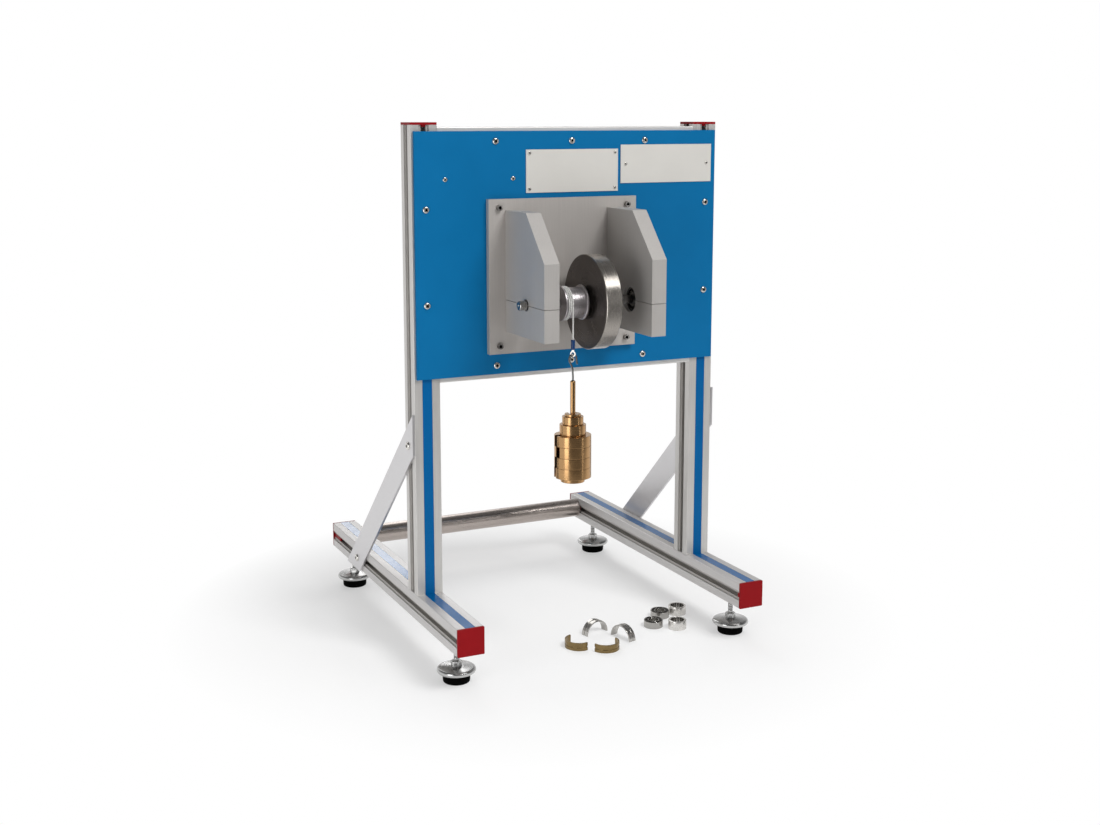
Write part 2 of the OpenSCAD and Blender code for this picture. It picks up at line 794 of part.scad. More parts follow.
// Cord path round the drum: out of its pocket, round the turns and straight down at the front
anchor_bend = 1.5 * cord_d;
anchor_r = wind_r - anchor_bend - cord_d;
anchor_turn = 180 - 360 * cord_turns;
function on_drum(x, r, along, turn) =
    [x, shaft_y + r * cos(turn) - along * sin(turn), shaft_z + r * sin(turn) + along * cos(turn)];
loop_rings = 48;
bend_rings = 6;
bend_angle = atan2(anchor_bend, wind_r);
first_ring = ceil(bend_angle / 360 * loop_rings) + 1;
winding_path = concat(
    [on_drum(wind_x0, anchor_r, 0, anchor_turn), on_drum(wind_x0, anchor_r + cord_d, 0, anchor_turn)],
    [for (i = [1:bend_rings]) let (a = 90 * i / bend_rings)
        on_drum(wind_x0, wind_r - anchor_bend + anchor_bend * sin(a),
                anchor_bend * (1 - cos(a)), anchor_turn)],
    [for (i = [first_ring:round(cord_turns * loop_rings)]) let (f = i / (cord_turns * loop_rings))
        on_drum(wind_x0 + cord_turns * cord_pitch * f, wind_r, 0, anchor_turn + 360 * cord_turns * f)],
    [[drop_x, drop_y, drop_top]]
);
function least_gap(p, d, apart) = min([
    for (i = [0:len(p) - 1], j = [i + apart:1:len(p) - 1]) norm(p[i] - p[j])
]) - d;

module cord_winding() {
    echo("least gap between turns of the cord", least_gap(winding_path, cord_d, loop_rings / 2));
    color("white") swept_tube(winding_path, cord_d, 6, [1, 0, 0]);
}

module drum() {
    bore = shaft_d / 2 + slip;
    face = drum_d / 2;
    flange = face + flange_up;
    hub = shaft_d / 2 + 6;
    round_r = flange_right_t / 2;
    x1 = flange_left_t + drum_l;
    x2 = x1 + flange_right_t;
    pocket_d = 3 * cord_d + 2 * slot_clear;
    color("silver") difference() {
        along_x(drum_x, shaft_y, shaft_z) rotate_extrude() polygon(concat(
            [[bore, 0], [flange, 0], [flange, flange_left_t], [face, flange_left_t], [face, x1]],
            [for (a = [0:15:180]) [flange - round_r + round_r * sin(a), x1 + round_r * (1 - cos(a))]],
            [[hub, x2], [hub, x2 + hub_l], [bore, x2 + hub_l]]
        ));
        translate([wind_x0, shaft_y, shaft_z]) rotate([anchor_turn, 0, 0])
            translate([0, anchor_r, cord_d]) rotate([-90, 0, 0]) cylinder(d = pocket_d, h = wind_r);
    }
}

// Cord, terminal, hook and weights that hang from the drum
cord_ring_step = 2.5 * cord_d;
drop_rings = max(2, ceil((drop_top - sleeve_top) / cord_ring_step));
drop_path = [
    for (i = [0:drop_rings]) [drop_x, drop_y, drop_top + (sleeve_top - drop_top) * i / drop_rings]
];

module cord_drop() {
    color("white") swept_tube(drop_path, cord_d, 8, [1, 0, 0]);
}

barrel_d = cord_d + 1.4;
barrel_l = 9;
module crimp_sleeve() {
    color("midnightblue") translate([drop_x, drop_y, sleeve_bottom]) difference() {
        cylinder(d = sleeve_d, h = sleeve_l);
        translate([0, 0, -cut]) cylinder(d = barrel_d + 2 * slip, h = barrel_l + cut);
    }
}

module ring_terminal() {
    neck_w = barrel_d;
    color("silver") translate([drop_x, drop_y, 0]) rotate(eye_turn) {
        difference() {
            union() {
                along_x(-eye_t / 2, 0, eye_z) cylinder(d = eye_d, h = eye_t);
                translate([-eye_t / 2, -neck_w / 2, eye_z]) cube([eye_t, neck_w, sleeve_bottom - eye_z]);
            }
            along_x(-cut, 0, eye_z) cylinder(d = eye_bore, h = 2 * cut);
        }
        translate([0, 0, sleeve_bottom]) cylinder(d = barrel_d, h = barrel_l);
    }
}

// The hook in its own plane, as [across, up from the middle of its bend]
hook_plane = concat(
    [[0, -hook_lean - hook_stem], [0, -hook_lean - hook_stem / 2], [-0.4, -hook_lean]],
    [for (i = [1:5]) [-hook_r * (1 - cos(18 * i)), -hook_lean * (1 - i / 6)]],
    [for (a = [180:-15:0]) hook_r * [cos(a), sin(a)]],
    [[hook_r + 0.5, -hook_tail / 2], [hook_r + 1.5, -hook_tail]]
);
hook_path = [
    for (p = hook_plane)
        [drop_x + p[0] * cos(hook_turn), drop_y + p[0] * sin(hook_turn), hook_mid + p[1]]
];

module hook() {
    color("silver") swept_tube(hook_path, hook_wire, 12, [cos(hook_turn), sin(hook_turn), 0]);
}

module hanger() {
    tip = 1.5;
    rod_l = rod_top - stack_bottom;
    color("peru") translate([drop_x, drop_y, stack_bottom]) {
        translate([0, 0, -hanger_foot_t]) cylinder(d = hanger_foot_d, h = hanger_foot_t);
        cylinder(d = rod_d, h = rod_l - tip);
        translate([0, 0, rod_l - tip]) cylinder(d1 = rod_d, d2 = rod_d - 2 * tip, h = tip);
    }
}

module slotted_weight(d, t, z, turn) {
    translate([drop_x, drop_y, z]) rotate(turn) difference() {
        cylinder(d = d, h = t);
        translate([0, 0, -cut]) cylinder(d = slot_wide, h = t + 2 * cut);
        translate([0, -slot_mouth / 2, -cut]) cube([d, slot_mouth, t + 2 * cut]);
    }
}

large_z = stack_bottom + slip;
module large_weight(i) {
    color("peru") slotted_weight(large_d, large_t, large_z + i * (large_t + slip), large_slot_turns[i]);
}

medium_z = large_z + 4 * (large_t + slip);
small_z = medium_z + medium_t + slip;
module medium_weight() {
    color("peru") slotted_weight(medium_d, medium_t, medium_z, upper_slot_turns[0]);
}

module small_weights() {
    color("peru") {
        slotted_weight(small_d, small_t, small_z, upper_slot_turns[1]);
        slotted_weight(top_d, top_t, small_z + small_t + 2 * slip, upper_slot_turns[2]);
    }
}

// Levelling feet: corner [side, place along the rail]
corners = [[-1, 0], [1, 0], [-1, 1], [1, 1]];
module at_corner(i) {
    translate([corners[i][0] * post_x, foot_ys[corners[i][1]], 0]) children();
}

module foot_pad(i) {
    r = pad_d / 2;
    lip = 1.5;
    color([0.1, 0.1, 0.1]) at_corner(i) rotate_extrude() polygon([
        [0, 0], [r - 1.5 * lip, 0], [r - lip / 2, lip], [r, pad_t], [0, pad_t]
    ]);
}

module foot_stud(i) {
    r = dish_d / 2;
    rim = dish_t / 2;
    hex_r = foot_hex / 2 / cos(30);
    hex_z = pad_t + dish_t + dish_rise;
    color("silver") at_corner(i) {
        rotate_extrude() polygon(concat(
            [[0, pad_t]],
            [for (a = [-90:30:90]) [r - rim + rim * cos(a), pad_t + rim + rim * sin(a)]],
            [[(r + hex_r) / 2, hex_z - 0.5 * dish_rise], [hex_r + 1, hex_z], [0, hex_z]]
        ));
        translate([0, 0, hex_z - 2]) cylinder(r = hex_r, h = hex_t, $fn = 6);
        translate([0, 0, hex_z]) cylinder(d = stud_d, h = stud_top - hex_z);
    }
}

// Loose bearings on the floor
module half_ring(outer, inner, w) {
    difference() {
        cylinder(d = outer, h = w);
        translate([0, 0, -cut]) cylinder(d = inner, h = w + 2 * cut);
        translate([0, -outer, -cut]) cube([outer, 2 * outer, w + 2 * cut]);
    }
}

module half_shell() {
    difference() {
        half_ring(shell_d, shell_d - 2 * shell_wall, shell_w);
        translate([0, 0, (shell_w - groove_w) / 2])
            bearing_ring(shell_d, shell_d / 2 - groove_d, groove_w);
    }
}

module bronze_half_shells() {
    color("darkgoldenrod") for (p = bronze_spots)
        translate([p[0], p[1], 0]) rotate(p[2]) half_shell();
}

module steel_half_shells() {
    color("gainsboro") for (p = steel_spots)
        translate([p[0], p[1], 0]) rotate(p[2]) translate([0, shell_w / 2, 0]) rotate([90, 90, 0])
            half_shell();
}

module roller_bearings() {
    wall = (roller_d - roller_bore) / 2;
    ring = wall * 0.24;
    mid = (roller_d + roller_bore) / 4;
    count = 11;
    web = 2;
    color("gray") for (p = roller_spots) translate([p[0], p[1], 0]) {
        bearing_ring(roller_d / 2, roller_d / 2 - ring, roller_w);
        bearing_ring(roller_bore / 2 + ring, roller_bore / 2, roller_w);
        translate([0, 0, roller_w / 2 - web / 2])
            bearing_ring(roller_d / 2 - ring / 2, roller_bore / 2 + ring / 2, web);
        for (i = [0:count - 1]) rotate(i * 360 / count) translate([mid, 0, 1])
            cylinder(d = wall - 2 * ring - 2 * roller_clear, h = roller_w - 2);
    }
}

module needle_bearings() {
    count = 20;
    needle = 2.6;
    shell = (needle_d - needle_bore) / 2 - needle * 0.8;
    lip = 1;
    color("gainsboro") for (p = needle_spots) translate([p[0], p[1], 0]) {
        bearing_ring(needle_d / 2, needle_d / 2 - shell, needle_w);
        for (i = [0:count - 1]) rotate(i * 360 / count) translate([(needle_bore + needle) / 2, 0, lip])
            cylinder(d = needle, h = needle_w - 2 * lip, $fn = 24);
    }
}

rail(-1);  // left_rail
rail(1);  // right_rail
post(-1);  // left_post
post(1);  // right_post
beam(top_beam_z);  // top_beam
beam(lower_beam_z);  // lower_beam
cross_tube();
brace(-1);  // left_brace
brace(1);  // right_brace
brace_screws();
rail_end_caps();
post_caps();
cover_strips();
core_screws();
slot_nuts();
panel();
panel_screws();
panel_rivets();
title_plate();
maker_plate();
label_screws();
mounting_plate();
plate_screws();
plate_nuts();
block(-1);  // left_block
block(1);  // right_block
block_cap(-1);  // left_block_cap
block_cap(1);  // right_block_cap
block_cap_screws();
block_screws();
bearing_outer_rings();
bearing_rollers();
bearing_inner_rings();
shaft();
flywheel();
drum();
cord_winding();
cord_drop();
crimp_sleeve();
ring_terminal();
hook();
hanger();
large_weight(0);  // large_weight_1
large_weight(1);  // large_weight_2
large_weight(2);  // large_weight_3
large_weight(3);  // large_weight_4
medium_weight();
small_weights();
foot_pad(0);  // front_left_pad
foot_pad(1);  // front_right_pad
foot_pad(2);  // rear_left_pad
foot_pad(3);  // rear_right_pad
foot_stud(0);  // front_left_stud
foot_stud(1);  // front_right_stud
foot_stud(2);  // rear_left_stud
foot_stud(3);  // rear_right_stud
bronze_half_shells();
steel_half_shells();
roller_bearings();
needle_bearings();
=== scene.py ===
import json
import math

import bmesh
import bpy
from mathutils import Euler, Matrix, Vector


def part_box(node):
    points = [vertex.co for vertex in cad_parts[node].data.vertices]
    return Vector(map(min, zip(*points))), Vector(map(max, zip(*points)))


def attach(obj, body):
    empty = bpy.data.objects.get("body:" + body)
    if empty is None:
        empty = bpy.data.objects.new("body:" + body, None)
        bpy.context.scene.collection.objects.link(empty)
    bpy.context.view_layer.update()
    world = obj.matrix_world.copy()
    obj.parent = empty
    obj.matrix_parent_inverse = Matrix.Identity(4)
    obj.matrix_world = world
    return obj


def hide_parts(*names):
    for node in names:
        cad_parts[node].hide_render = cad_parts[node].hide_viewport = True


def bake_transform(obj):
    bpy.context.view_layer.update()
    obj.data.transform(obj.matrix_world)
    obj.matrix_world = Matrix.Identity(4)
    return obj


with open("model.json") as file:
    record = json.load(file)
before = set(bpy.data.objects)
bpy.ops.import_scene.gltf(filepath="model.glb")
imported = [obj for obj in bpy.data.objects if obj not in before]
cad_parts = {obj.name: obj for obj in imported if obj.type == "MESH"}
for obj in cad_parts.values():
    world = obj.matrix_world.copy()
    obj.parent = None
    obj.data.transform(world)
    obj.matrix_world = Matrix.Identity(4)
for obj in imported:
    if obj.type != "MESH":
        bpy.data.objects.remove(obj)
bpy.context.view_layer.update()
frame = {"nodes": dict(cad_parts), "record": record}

NODES = frame["nodes"]
BODY_OF = {n: b for b, ns in frame["record"]["behaviour"]["bodies"].items() for n in ns}
MM = 0.001
X_AXIS, Y_AXIS, Z_AXIS = range(3)


# Places read from the frame
def middle(node):
    low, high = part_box(node)
    return (low + high) / 2


SHAFT = middle("flywheel")
HANG = middle("hanger")
FEET = {c: middle(c + "_pad") for c in ("front_left", "front_right", "rear_left", "rear_right")}


# Camera at the photograph's angle
PICTURE_WIDTH = 1100
FOCAL_PIXELS = 1421.4
SHIFT_PIXELS = -60
SENSOR_WIDTH = 36
CAMERA_PLACE = (-1.0517, -2.2719, 0.8893)
CAMERA_DIP = 9.412
CAMERA_TURN = -25.525
NEAREST, FARTHEST = 0.05, 60


def make_camera():
    """Looks down on the stand. The small shift holds the posts nearer to upright in the picture."""
    camera = bpy.data.objects.new("camera", bpy.data.cameras.new("camera"))
    bpy.context.scene.collection.objects.link(camera)
    camera.location = CAMERA_PLACE
    camera.rotation_euler = (math.radians(90 - CAMERA_DIP), 0, math.radians(CAMERA_TURN))
    camera.data.sensor_width = SENSOR_WIDTH
    camera.data.lens = FOCAL_PIXELS / PICTURE_WIDTH * SENSOR_WIDTH
    camera.data.shift_y = SHIFT_PIXELS / PICTURE_WIDTH
    camera.data.clip_start = NEAREST
    camera.data.clip_end = FARTHEST
    bpy.context.scene.camera = camera


# Building blocks of node trees
WHITE = (1, 1, 1, 1)
NOISE_LOW, NOISE_HIGH = 0.3, 0.7
LINE_DARK, LINE_LIGHT = 0.25, 0.75


class Tree:
    """A node tree and a short way to add its nodes, with constants or links as inputs."""

    def __init__(self, tree):
        self.tree = tree

    def add(self, kind, inputs=None, **settings):
        node = self.tree.nodes.new(kind)
        for key, value in settings.items():
            setattr(node, key, value)
        for key, value in (inputs or {}).items():
            if isinstance(value, bpy.types.NodeSocket):
                self.tree.links.new(value, node.inputs[key])
            else:
                node.inputs[key].default_value = value
        return node

    def maths(self, operation, a, b=0.0, **settings):
        return self.add("ShaderNodeMath", {0: a, 1: b}, operation=operation, **settings).outputs[0]

    def vector(self, operation, a, b=(0, 0, 0)):
        node = self.add("ShaderNodeVectorMath", {0: a, 1: b}, operation=operation)
        return node.outputs["Value" if operation in ("LENGTH", "DOT_PRODUCT") else "Vector"]

    def spread(self, value, low, high, out_low, out_high):
        return self.add("ShaderNodeMapRange", {"Value": value, "From Min": low, "From Max": high,
                                               "To Min": out_low, "To Max": out_high}).outputs[0]

    def swing(self, noise, out_low, out_high):
        """Spreads a noise between two values."""
        return self.spread(noise, NOISE_LOW, NOISE_HIGH, out_low, out_high)

    def show(self, surface, output):
        """Puts a surface on the tree's output node."""
        self.tree.links.new(surface.outputs[0], self.tree.nodes[output].inputs["Surface"])


class Finish(Tree):
    """A material with a Principled shader and short ways to feed its sockets."""

    def __init__(self, name, colour, metallic, rough, **plain):
        self.mat = bpy.data.materials.new(name)
        self.mat.use_nodes = True
        super().__init__(self.mat.node_tree)
        self.shader = self.tree.nodes["Principled BSDF"]
        self.coords = self.add("ShaderNodeTexCoord").outputs
        plain.update(Base_Color=(*colour, 1), Metallic=metallic, Roughness=rough)
        for socket, value in plain.items():
            self.shader.inputs[socket.replace("_", " ")].default_value = value

    def link(self, source, socket):
        self.tree.links.new(source, self.shader.inputs[socket])

    def place(self, scale=(1, 1, 1), centre=(0, 0, 0)):
        """Coordinates measured from centre and stretched by scale."""
        return self.vector("MULTIPLY", self.vector("SUBTRACT", self.coords["Object"], centre), scale)

    def noise(self, scale, detail, rough=0.55, vector=None):
        return self.add("ShaderNodeTexNoise", {
            "Vector": vector or self.coords["Object"], "Scale": scale, "Detail": detail,
            "Roughness": rough}).outputs["Fac"]

    def ramp(self, value, *stops):
        node = self.add("ShaderNodeValToRGB", {"Fac": value})
        for element, (place, colour) in zip(node.color_ramp.elements, stops):
            element.position = place
            element.color = (*colour, 1)
        return node.outputs["Color"]

    def mix(self, factor, a, b, blend="MIX"):
        node = self.add("ShaderNodeMix", {0: factor, 6: a, 7: b}, data_type="RGBA", blend_type=blend)
        return node.outputs[2]

    def clouded(self, clouds, colour, darkest, lightest):
        """Colour that gets darker and lighter with clouds."""
        return self.ramp(clouds, (NOISE_LOW, shade(colour, darkest)), (NOISE_HIGH, shade(colour, lightest)))

    def lined(self, colour, lines, contrast, clouds, dullest, clear_from):
        """Links a colour that follows fine lines and is dulled by clouds."""
        tone = self.ramp(lines, (LINE_DARK, shade(colour, 1 - contrast)),
                         (LINE_LIGHT, shade(colour, 1 + contrast)))
        cover = self.ramp(clouds, (NOISE_LOW, (dullest,) * 3), (clear_from, (1.0,) * 3))
        self.link(self.mix(1.0, tone, cover, "MULTIPLY"), "Base Color")

    def roughness(self, a, b):
        self.link(self.maths("ADD", a, b), "Roughness")

    def bump(self, height, strength, distance):
        node = self.add("ShaderNodeBump", {"Height": height, "Strength": strength, "Distance": distance})
        self.link(node.outputs["Normal"], "Normal")


def shade(colour, factor):
    return tuple(min(1.0, c * factor) for c in colour)


# Finishes
LINE_STRETCH = 0.012
RING_SCALE = 1400
SKIN_DEEP, PIT_DEEP, STRAND_DEEP = 0.2 * MM, 0.1 * MM, 0.3 * MM
PIT_STRENGTH = 0.05
# Painted shade: the near-black colour given to the inside of a driver's recess
PAINTED_RECESS_SHADE = (0.004, 0.004, 0.004, 1)
STRANDS_ROUND = 4.0


def drawn_metal(name, colour, metallic, rough, along, fine=900, contrast=0.10, bump=0.12):
    """Metal with fine lines along one axis, as drawing or brushing leaves them, and faint clouds."""
    finish = Finish(name, colour, metallic, rough)
    stretch = [1.0, 1.0, 1.0]
    stretch[along] = LINE_STRETCH
    lines = finish.noise(scale=fine, detail=4.0, rough=0.6, vector=finish.place(stretch))
    clouds = finish.noise(scale=9.0, detail=3.0)
    finish.lined(colour, lines, contrast, clouds, dullest=0.93, clear_from=NOISE_HIGH)
    finish.roughness(finish.swing(lines, rough - 0.06, rough + 0.06), finish.swing(clouds, -0.03, 0.05))
    finish.bump(lines, bump, SKIN_DEEP)
    return finish.mat


def turned_metal(name, colour, metallic, rough, axis, centre, contrast=0.12, bump=0.15, anisotropic=0.0):
    """Metal with lathe rings about an axis: circles on its end faces and bands round its rim."""
    finish = Finish(name, colour, metallic, rough, Anisotropic=anisotropic)
    flat = [1.0, 1.0, 1.0]
    flat[axis] = 0.0
    line = [0.0, 0.0, 0.0]
    line[axis] = 1.0
    radius = finish.vector("LENGTH", finish.place(flat, centre))
    reach = finish.vector("DOT_PRODUCT", finish.place(centre=centre), line)
    rings = finish.add("ShaderNodeTexNoise", {
        "W": finish.maths("ADD", radius, reach), "Scale": RING_SCALE, "Detail": 3.0},
        noise_dimensions="1D").outputs["Fac"]
    clouds = finish.noise(scale=40.0, detail=4.0)
    finish.lined(colour, rings, contrast, clouds, dullest=0.90, clear_from=0.65)
    finish.roughness(finish.swing(rings, rough - 0.05, rough + 0.05), finish.swing(clouds, -0.03, 0.06))
    finish.bump(rings, bump, PIT_DEEP)
    if anisotropic:
        round_axis = finish.add("ShaderNodeTangent", direction_type="RADIAL", axis="XYZ"[axis])
        finish.link(round_axis.outputs[0], "Tangent")
    return finish.mat


def bright_metal(name, colour, metallic, rough):
    """Plated or ground metal with faint clouds and fine pits."""
    finish = Finish(name, colour, metallic, rough)
    clouds = finish.noise(scale=60.0, detail=4.0)
    finish.link(finish.clouded(clouds, colour, darkest=0.86, lightest=1.06), "Base Color")
    finish.link(finish.swing(clouds, max(0.03, rough - 0.07), rough + 0.09), "Roughness")
    finish.bump(finish.noise(scale=300, detail=3.0), PIT_STRENGTH, PIT_DEEP)
    return finish.mat


def screw_metal(name, colour, rough):
    """Plated metal, with painted shade inside a driver's recess."""
    finish = Finish(name, colour, 1.0, rough)
    clouds = finish.noise(scale=90.0, detail=4.0)
    # Painted shade: the points marked as lying in a recess get the near-black colour
    painted_deep_shade = finish.add("ShaderNodeAttribute", attribute_name="painted_deep_shade").outputs["Fac"]
    tone = finish.clouded(clouds, colour, darkest=0.84, lightest=1.08)
    finish.link(finish.mix(painted_deep_shade, tone, PAINTED_RECESS_SHADE), "Base Color")
    finish.roughness(finish.swing(clouds, rough - 0.06, rough + 0.08), finish.spread(painted_deep_shade, 0, 1, 0, 0.4))
    finish.bump(finish.noise(scale=400, detail=3.0), PIT_STRENGTH, PIT_DEEP)
    return finish.mat


def moulded(name, colour, rough, grain=700, bump=0.12, variation=0.06, **plain):
    """Plastic, paint or rubber with a fine skin and slight changes of tone."""
    finish = Finish(name, colour, 0.0, rough, **plain)
    clouds = finish.noise(scale=14.0, detail=4.0)
    skin = finish.noise(scale=grain, detail=2.0)
    finish.link(finish.clouded(clouds, colour, 1 - variation, 1 + variation), "Base Color")
    finish.roughness(finish.swing(skin, rough - 0.05, rough + 0.05), finish.swing(clouds, -0.03, 0.03))
    finish.bump(skin, bump, SKIN_DEEP)
    return finish.mat


def braided(name, colour):
    """Cord with crossing strands, on the piece's own map: round in U, along in V."""
    finish = Finish(name, colour, 0.0, 0.8, Sheen_Weight=0.3, Sheen_Roughness=0.5)
    strands = []
    for lean in (STRANDS_ROUND, -STRANDS_ROUND):
        turns = finish.vector("DOT_PRODUCT", finish.coords["UV"], (lean, 1.0, 0))
        strands.append(finish.maths("SINE", finish.maths("MULTIPLY", turns, 2 * math.pi)))
    weave = finish.maths("MAXIMUM", *strands)
    # Painted shade: the valleys between the strands are darker than the raised strands
    raised = finish.spread(weave, -0.2, 1.0, 0.0, 1.0)
    finish.link(finish.ramp(raised, (0.0, shade(colour, 0.70)), (0.6, colour)), "Base Color")
    finish.bump(weave, 0.6, STRAND_DEEP)
    return finish.mat


STRIP_BLUE = (0.0012, 0.104, 0.305)
WHEEL_AXIS = X_AXIS, tuple(SHAFT)
STACK_AXIS = Z_AXIS, tuple(HANG)
FINISHES = {
    "rail": drawn_metal("anodised_rail", (0.63, 0.615, 0.605), 0.50, 0.44, Y_AXIS),
    "post": drawn_metal("anodised_post", (0.62, 0.605, 0.585), 0.55, 0.40, Z_AXIS),
    "beam": drawn_metal("anodised_beam", (0.78, 0.765, 0.745), 0.55, 0.40, X_AXIS),
    # Painted shade: a darker copy of the profile metal for the faces inside the slots and core
    "slot": drawn_metal("slot_inside", (0.50, 0.48, 0.455), 0.5, 0.5, Z_AXIS),
    "brace": drawn_metal("anodised_brace", (0.66, 0.65, 0.658), 0.85, 0.36, Y_AXIS, fine=500,
                         contrast=0.02, bump=0.012),
    "tube": drawn_metal("satin_tube", (0.52, 0.46, 0.425), 0.95, 0.27, X_AXIS, fine=1200),
    "plate": drawn_metal("brushed_plate", (0.50, 0.472, 0.447), 0.35, 0.46, Z_AXIS, fine=700,
                         contrast=0.06),
    "block": drawn_metal("milled_block", (0.47, 0.450, 0.430), 0.32, 0.46, Z_AXIS, fine=500,
                         contrast=0.05),
    "red_cap": moulded("red_cap", (0.26, 0.005, 0.008), 0.45, Specular_IOR_Level=0.09),
    "blue_strip": moulded("blue_strip", STRIP_BLUE, 0.30, variation=0.04, Specular_IOR_Level=0.07),
    "rail_strip": moulded("blue_rail_strip", STRIP_BLUE, 0.14, variation=0.04, Specular_IOR_Level=0.3),
    "panel": moulded("blue_panel_coat", (0.0015, 0.137, 0.335), 0.42, grain=1100, bump=0.18,
                     variation=0.03, Specular_IOR_Level=0.09),
    "label": moulded("pale_label", (0.61, 0.595, 0.56), 0.36, grain=1500, bump=0.05, variation=0.02),
    "sleeve": moulded("blue_sleeve", (0.006, 0.040, 0.140), 0.28, bump=0.05, Specular_IOR_Level=0.35),
    "rubber": moulded("foot_rubber", (0.0015, 0.0015, 0.0015), 0.75, grain=500, bump=0.3, variation=0.2,
                      Specular_IOR_Level=0.03),
    "cord": braided("white_cord", (0.76, 0.755, 0.73)),
    "screw": screw_metal("zinc_screw", (0.74, 0.72, 0.68), 0.22),
    "plate_screw": screw_metal("steel_screw", (0.46, 0.44, 0.42), 0.24),
    "dark_screw": screw_metal("dark_screw", (0.24, 0.23, 0.22), 0.30),
    "bearing": bright_metal("ground_bearing", (0.40, 0.39, 0.37), 1.0, 0.12),
    # Painted shade: the rings set in the blocks' bearing holes are bearing steel coloured dark for the shade
    # in the holes
    "mounted": bright_metal("oiled_ring", (0.13, 0.125, 0.12), 1.0, 0.2),
    "roller": bright_metal("dark_roller", (0.05, 0.048, 0.044), 1.0, 0.26),
    "tin": bright_metal("tinned_wire", (0.40, 0.385, 0.36), 1.0, 0.14),
    "hook_wire": bright_metal("hook_wire", (0.17, 0.167, 0.163), 1.0, 0.12),
    "foot": bright_metal("zinc_foot", (0.55, 0.55, 0.545), 1.0, 0.20),
    "bronze": bright_metal("aged_bronze", (0.235, 0.165, 0.072), 0.9, 0.26),
    "white_metal": bright_metal("white_metal", (0.50, 0.485, 0.46), 0.95, 0.20),
    "pale_shell": bright_metal("pale_shell", (0.74, 0.72, 0.69), 0.85, 0.26),
    "shaft": turned_metal("turned_shaft", (0.40, 0.39, 0.375), 1.0, 0.24, *WHEEL_AXIS),
    "drum": turned_metal("turned_drum", (0.44, 0.41, 0.42), 0.80, 0.32, *WHEEL_AXIS, contrast=0.08,
                         bump=0.05),
    # Painted shade: the flywheel's end faces are the rim's steel coloured much darker, for the dark things
    # they reflect
    "wheel_face": turned_metal("wheel_face", (0.155, 0.138, 0.128), 0.95, 0.30, *WHEEL_AXIS, bump=0.12,
                               anisotropic=0.75),
    "wheel_rim": turned_metal("wheel_rim", (0.35, 0.325, 0.296), 0.95, 0.24, *WHEEL_AXIS, contrast=0.06,
                              bump=0.02),
    "brass": turned_metal("turned_brass", (0.49, 0.290, 0.132), 1.0, 0.20, *STACK_AXIS, contrast=0.08,
                          bump=0.14),
}


# Pieces made from the solids, with their edges eased
MERGED = 0.002 * MM
FLAT_ANGLE = 1
EASED_ANGLE = 28
EASED_SHARP_ANGLE = 40
EASE_SEGMENTS = 2
FLAT_WEIGHT = 60


def new_piece(name, mesh, finish=None):
    obj = bpy.data.objects.new(name, mesh)
    bpy.context.scene.collection.objects.link(obj)
    if finish:
        mesh.materials.append(FINISHES[finish])
    return obj


def settle(piece, node):
    """Puts a finished piece in a solid's place, on its body."""
    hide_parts(node)
    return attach(piece, BODY_OF[node])


def baked(obj):
    """The object's modified shape as a plain mesh in place of its modifiers."""
    depsgraph = bpy.context.evaluated_depsgraph_get()
    mesh = bpy.data.meshes.new_from_object(obj.evaluated_get(depsgraph), depsgraph=depsgraph)
    obj.modifiers.clear()
    old = obj.data
    obj.data = mesh
    bpy.data.meshes.remove(old)
    return obj


def smooth_by_angle(piece, degrees=35):
    piece.data.shade_smooth()
    piece.data.set_sharp_from_angle(angle=math.radians(degrees))


def eased_copy(node, width, finish):
    """A copy of a solid with merged points, whole flat faces and eased edges."""
    mesh = NODES[node].data.copy()
    mesh.materials.clear()
    shape = bmesh.new()
    shape.from_mesh(mesh)
    bmesh.ops.remove_doubles(shape, verts=shape.verts, dist=MERGED)
    bmesh.ops.dissolve_limit(shape, angle_limit=math.radians(FLAT_ANGLE), verts=shape.verts,
                             edges=shape.edges)
    shape.to_mesh(mesh)
    shape.free()
    stored = mesh.attributes.get("custom_normal")
    if stored:
        mesh.attributes.remove(stored)
    piece = new_piece(node + "_eased", mesh)
    ease = piece.modifiers.new("ease", "BEVEL")
    ease.limit_method = "ANGLE"
    ease.angle_limit = math.radians(EASED_ANGLE)
    ease.width = width
    ease.segments = EASE_SEGMENTS
    ease.use_clamp_overlap = True
    ease.miter_outer = "MITER_ARC"
    baked(piece)
    smooth_by_angle(piece, EASED_SHARP_ANGLE)
    even = piece.modifiers.new("even", "WEIGHTED_NORMAL")
    even.keep_sharp = True
    even.weight = FLAT_WEIGHT
    baked(piece)
    piece.data.materials.clear()
    piece.data.materials.append(FINISHES[finish])
    return settle(piece, node)


# A row gives the finish, the width of the eased edge in millimetres and the solids
EASED = [
    ("brace", 0.5, "left_brace", "right_brace"),
    ("tube", 0.4, "cross_tube"),
    ("panel", 0.6, "panel"),
    ("label", 0.3, "title_plate", "maker_plate"),
    ("plate", 0.7, "mounting_plate"),
    ("block", 0.7, "left_block", "right_block", "left_block_cap", "right_block_cap"),
    ("brass", 0.5, "hanger"),
    ("brass", 0.6, "large_weight_1", "large_weight_2", "large_weight_3", "large_weight_4", "medium_weight"),
    ("brass", 0.5, "small_weights"),
    ("bronze", 0.35, "bronze_half_shells"),
    ("white_metal", 0.35, "steel_half_shells"),
    ("red_cap", 0.5, "rail_end_caps", "post_caps"),
    ("tin", 0.2, "ring_terminal"),
    ("rubber", 0.9, *(corner + "_pad" for corner in FEET)),
]
for finish, width, *nodes in EASED:
    for node in nodes:
        eased_copy(node, width * MM, finish)


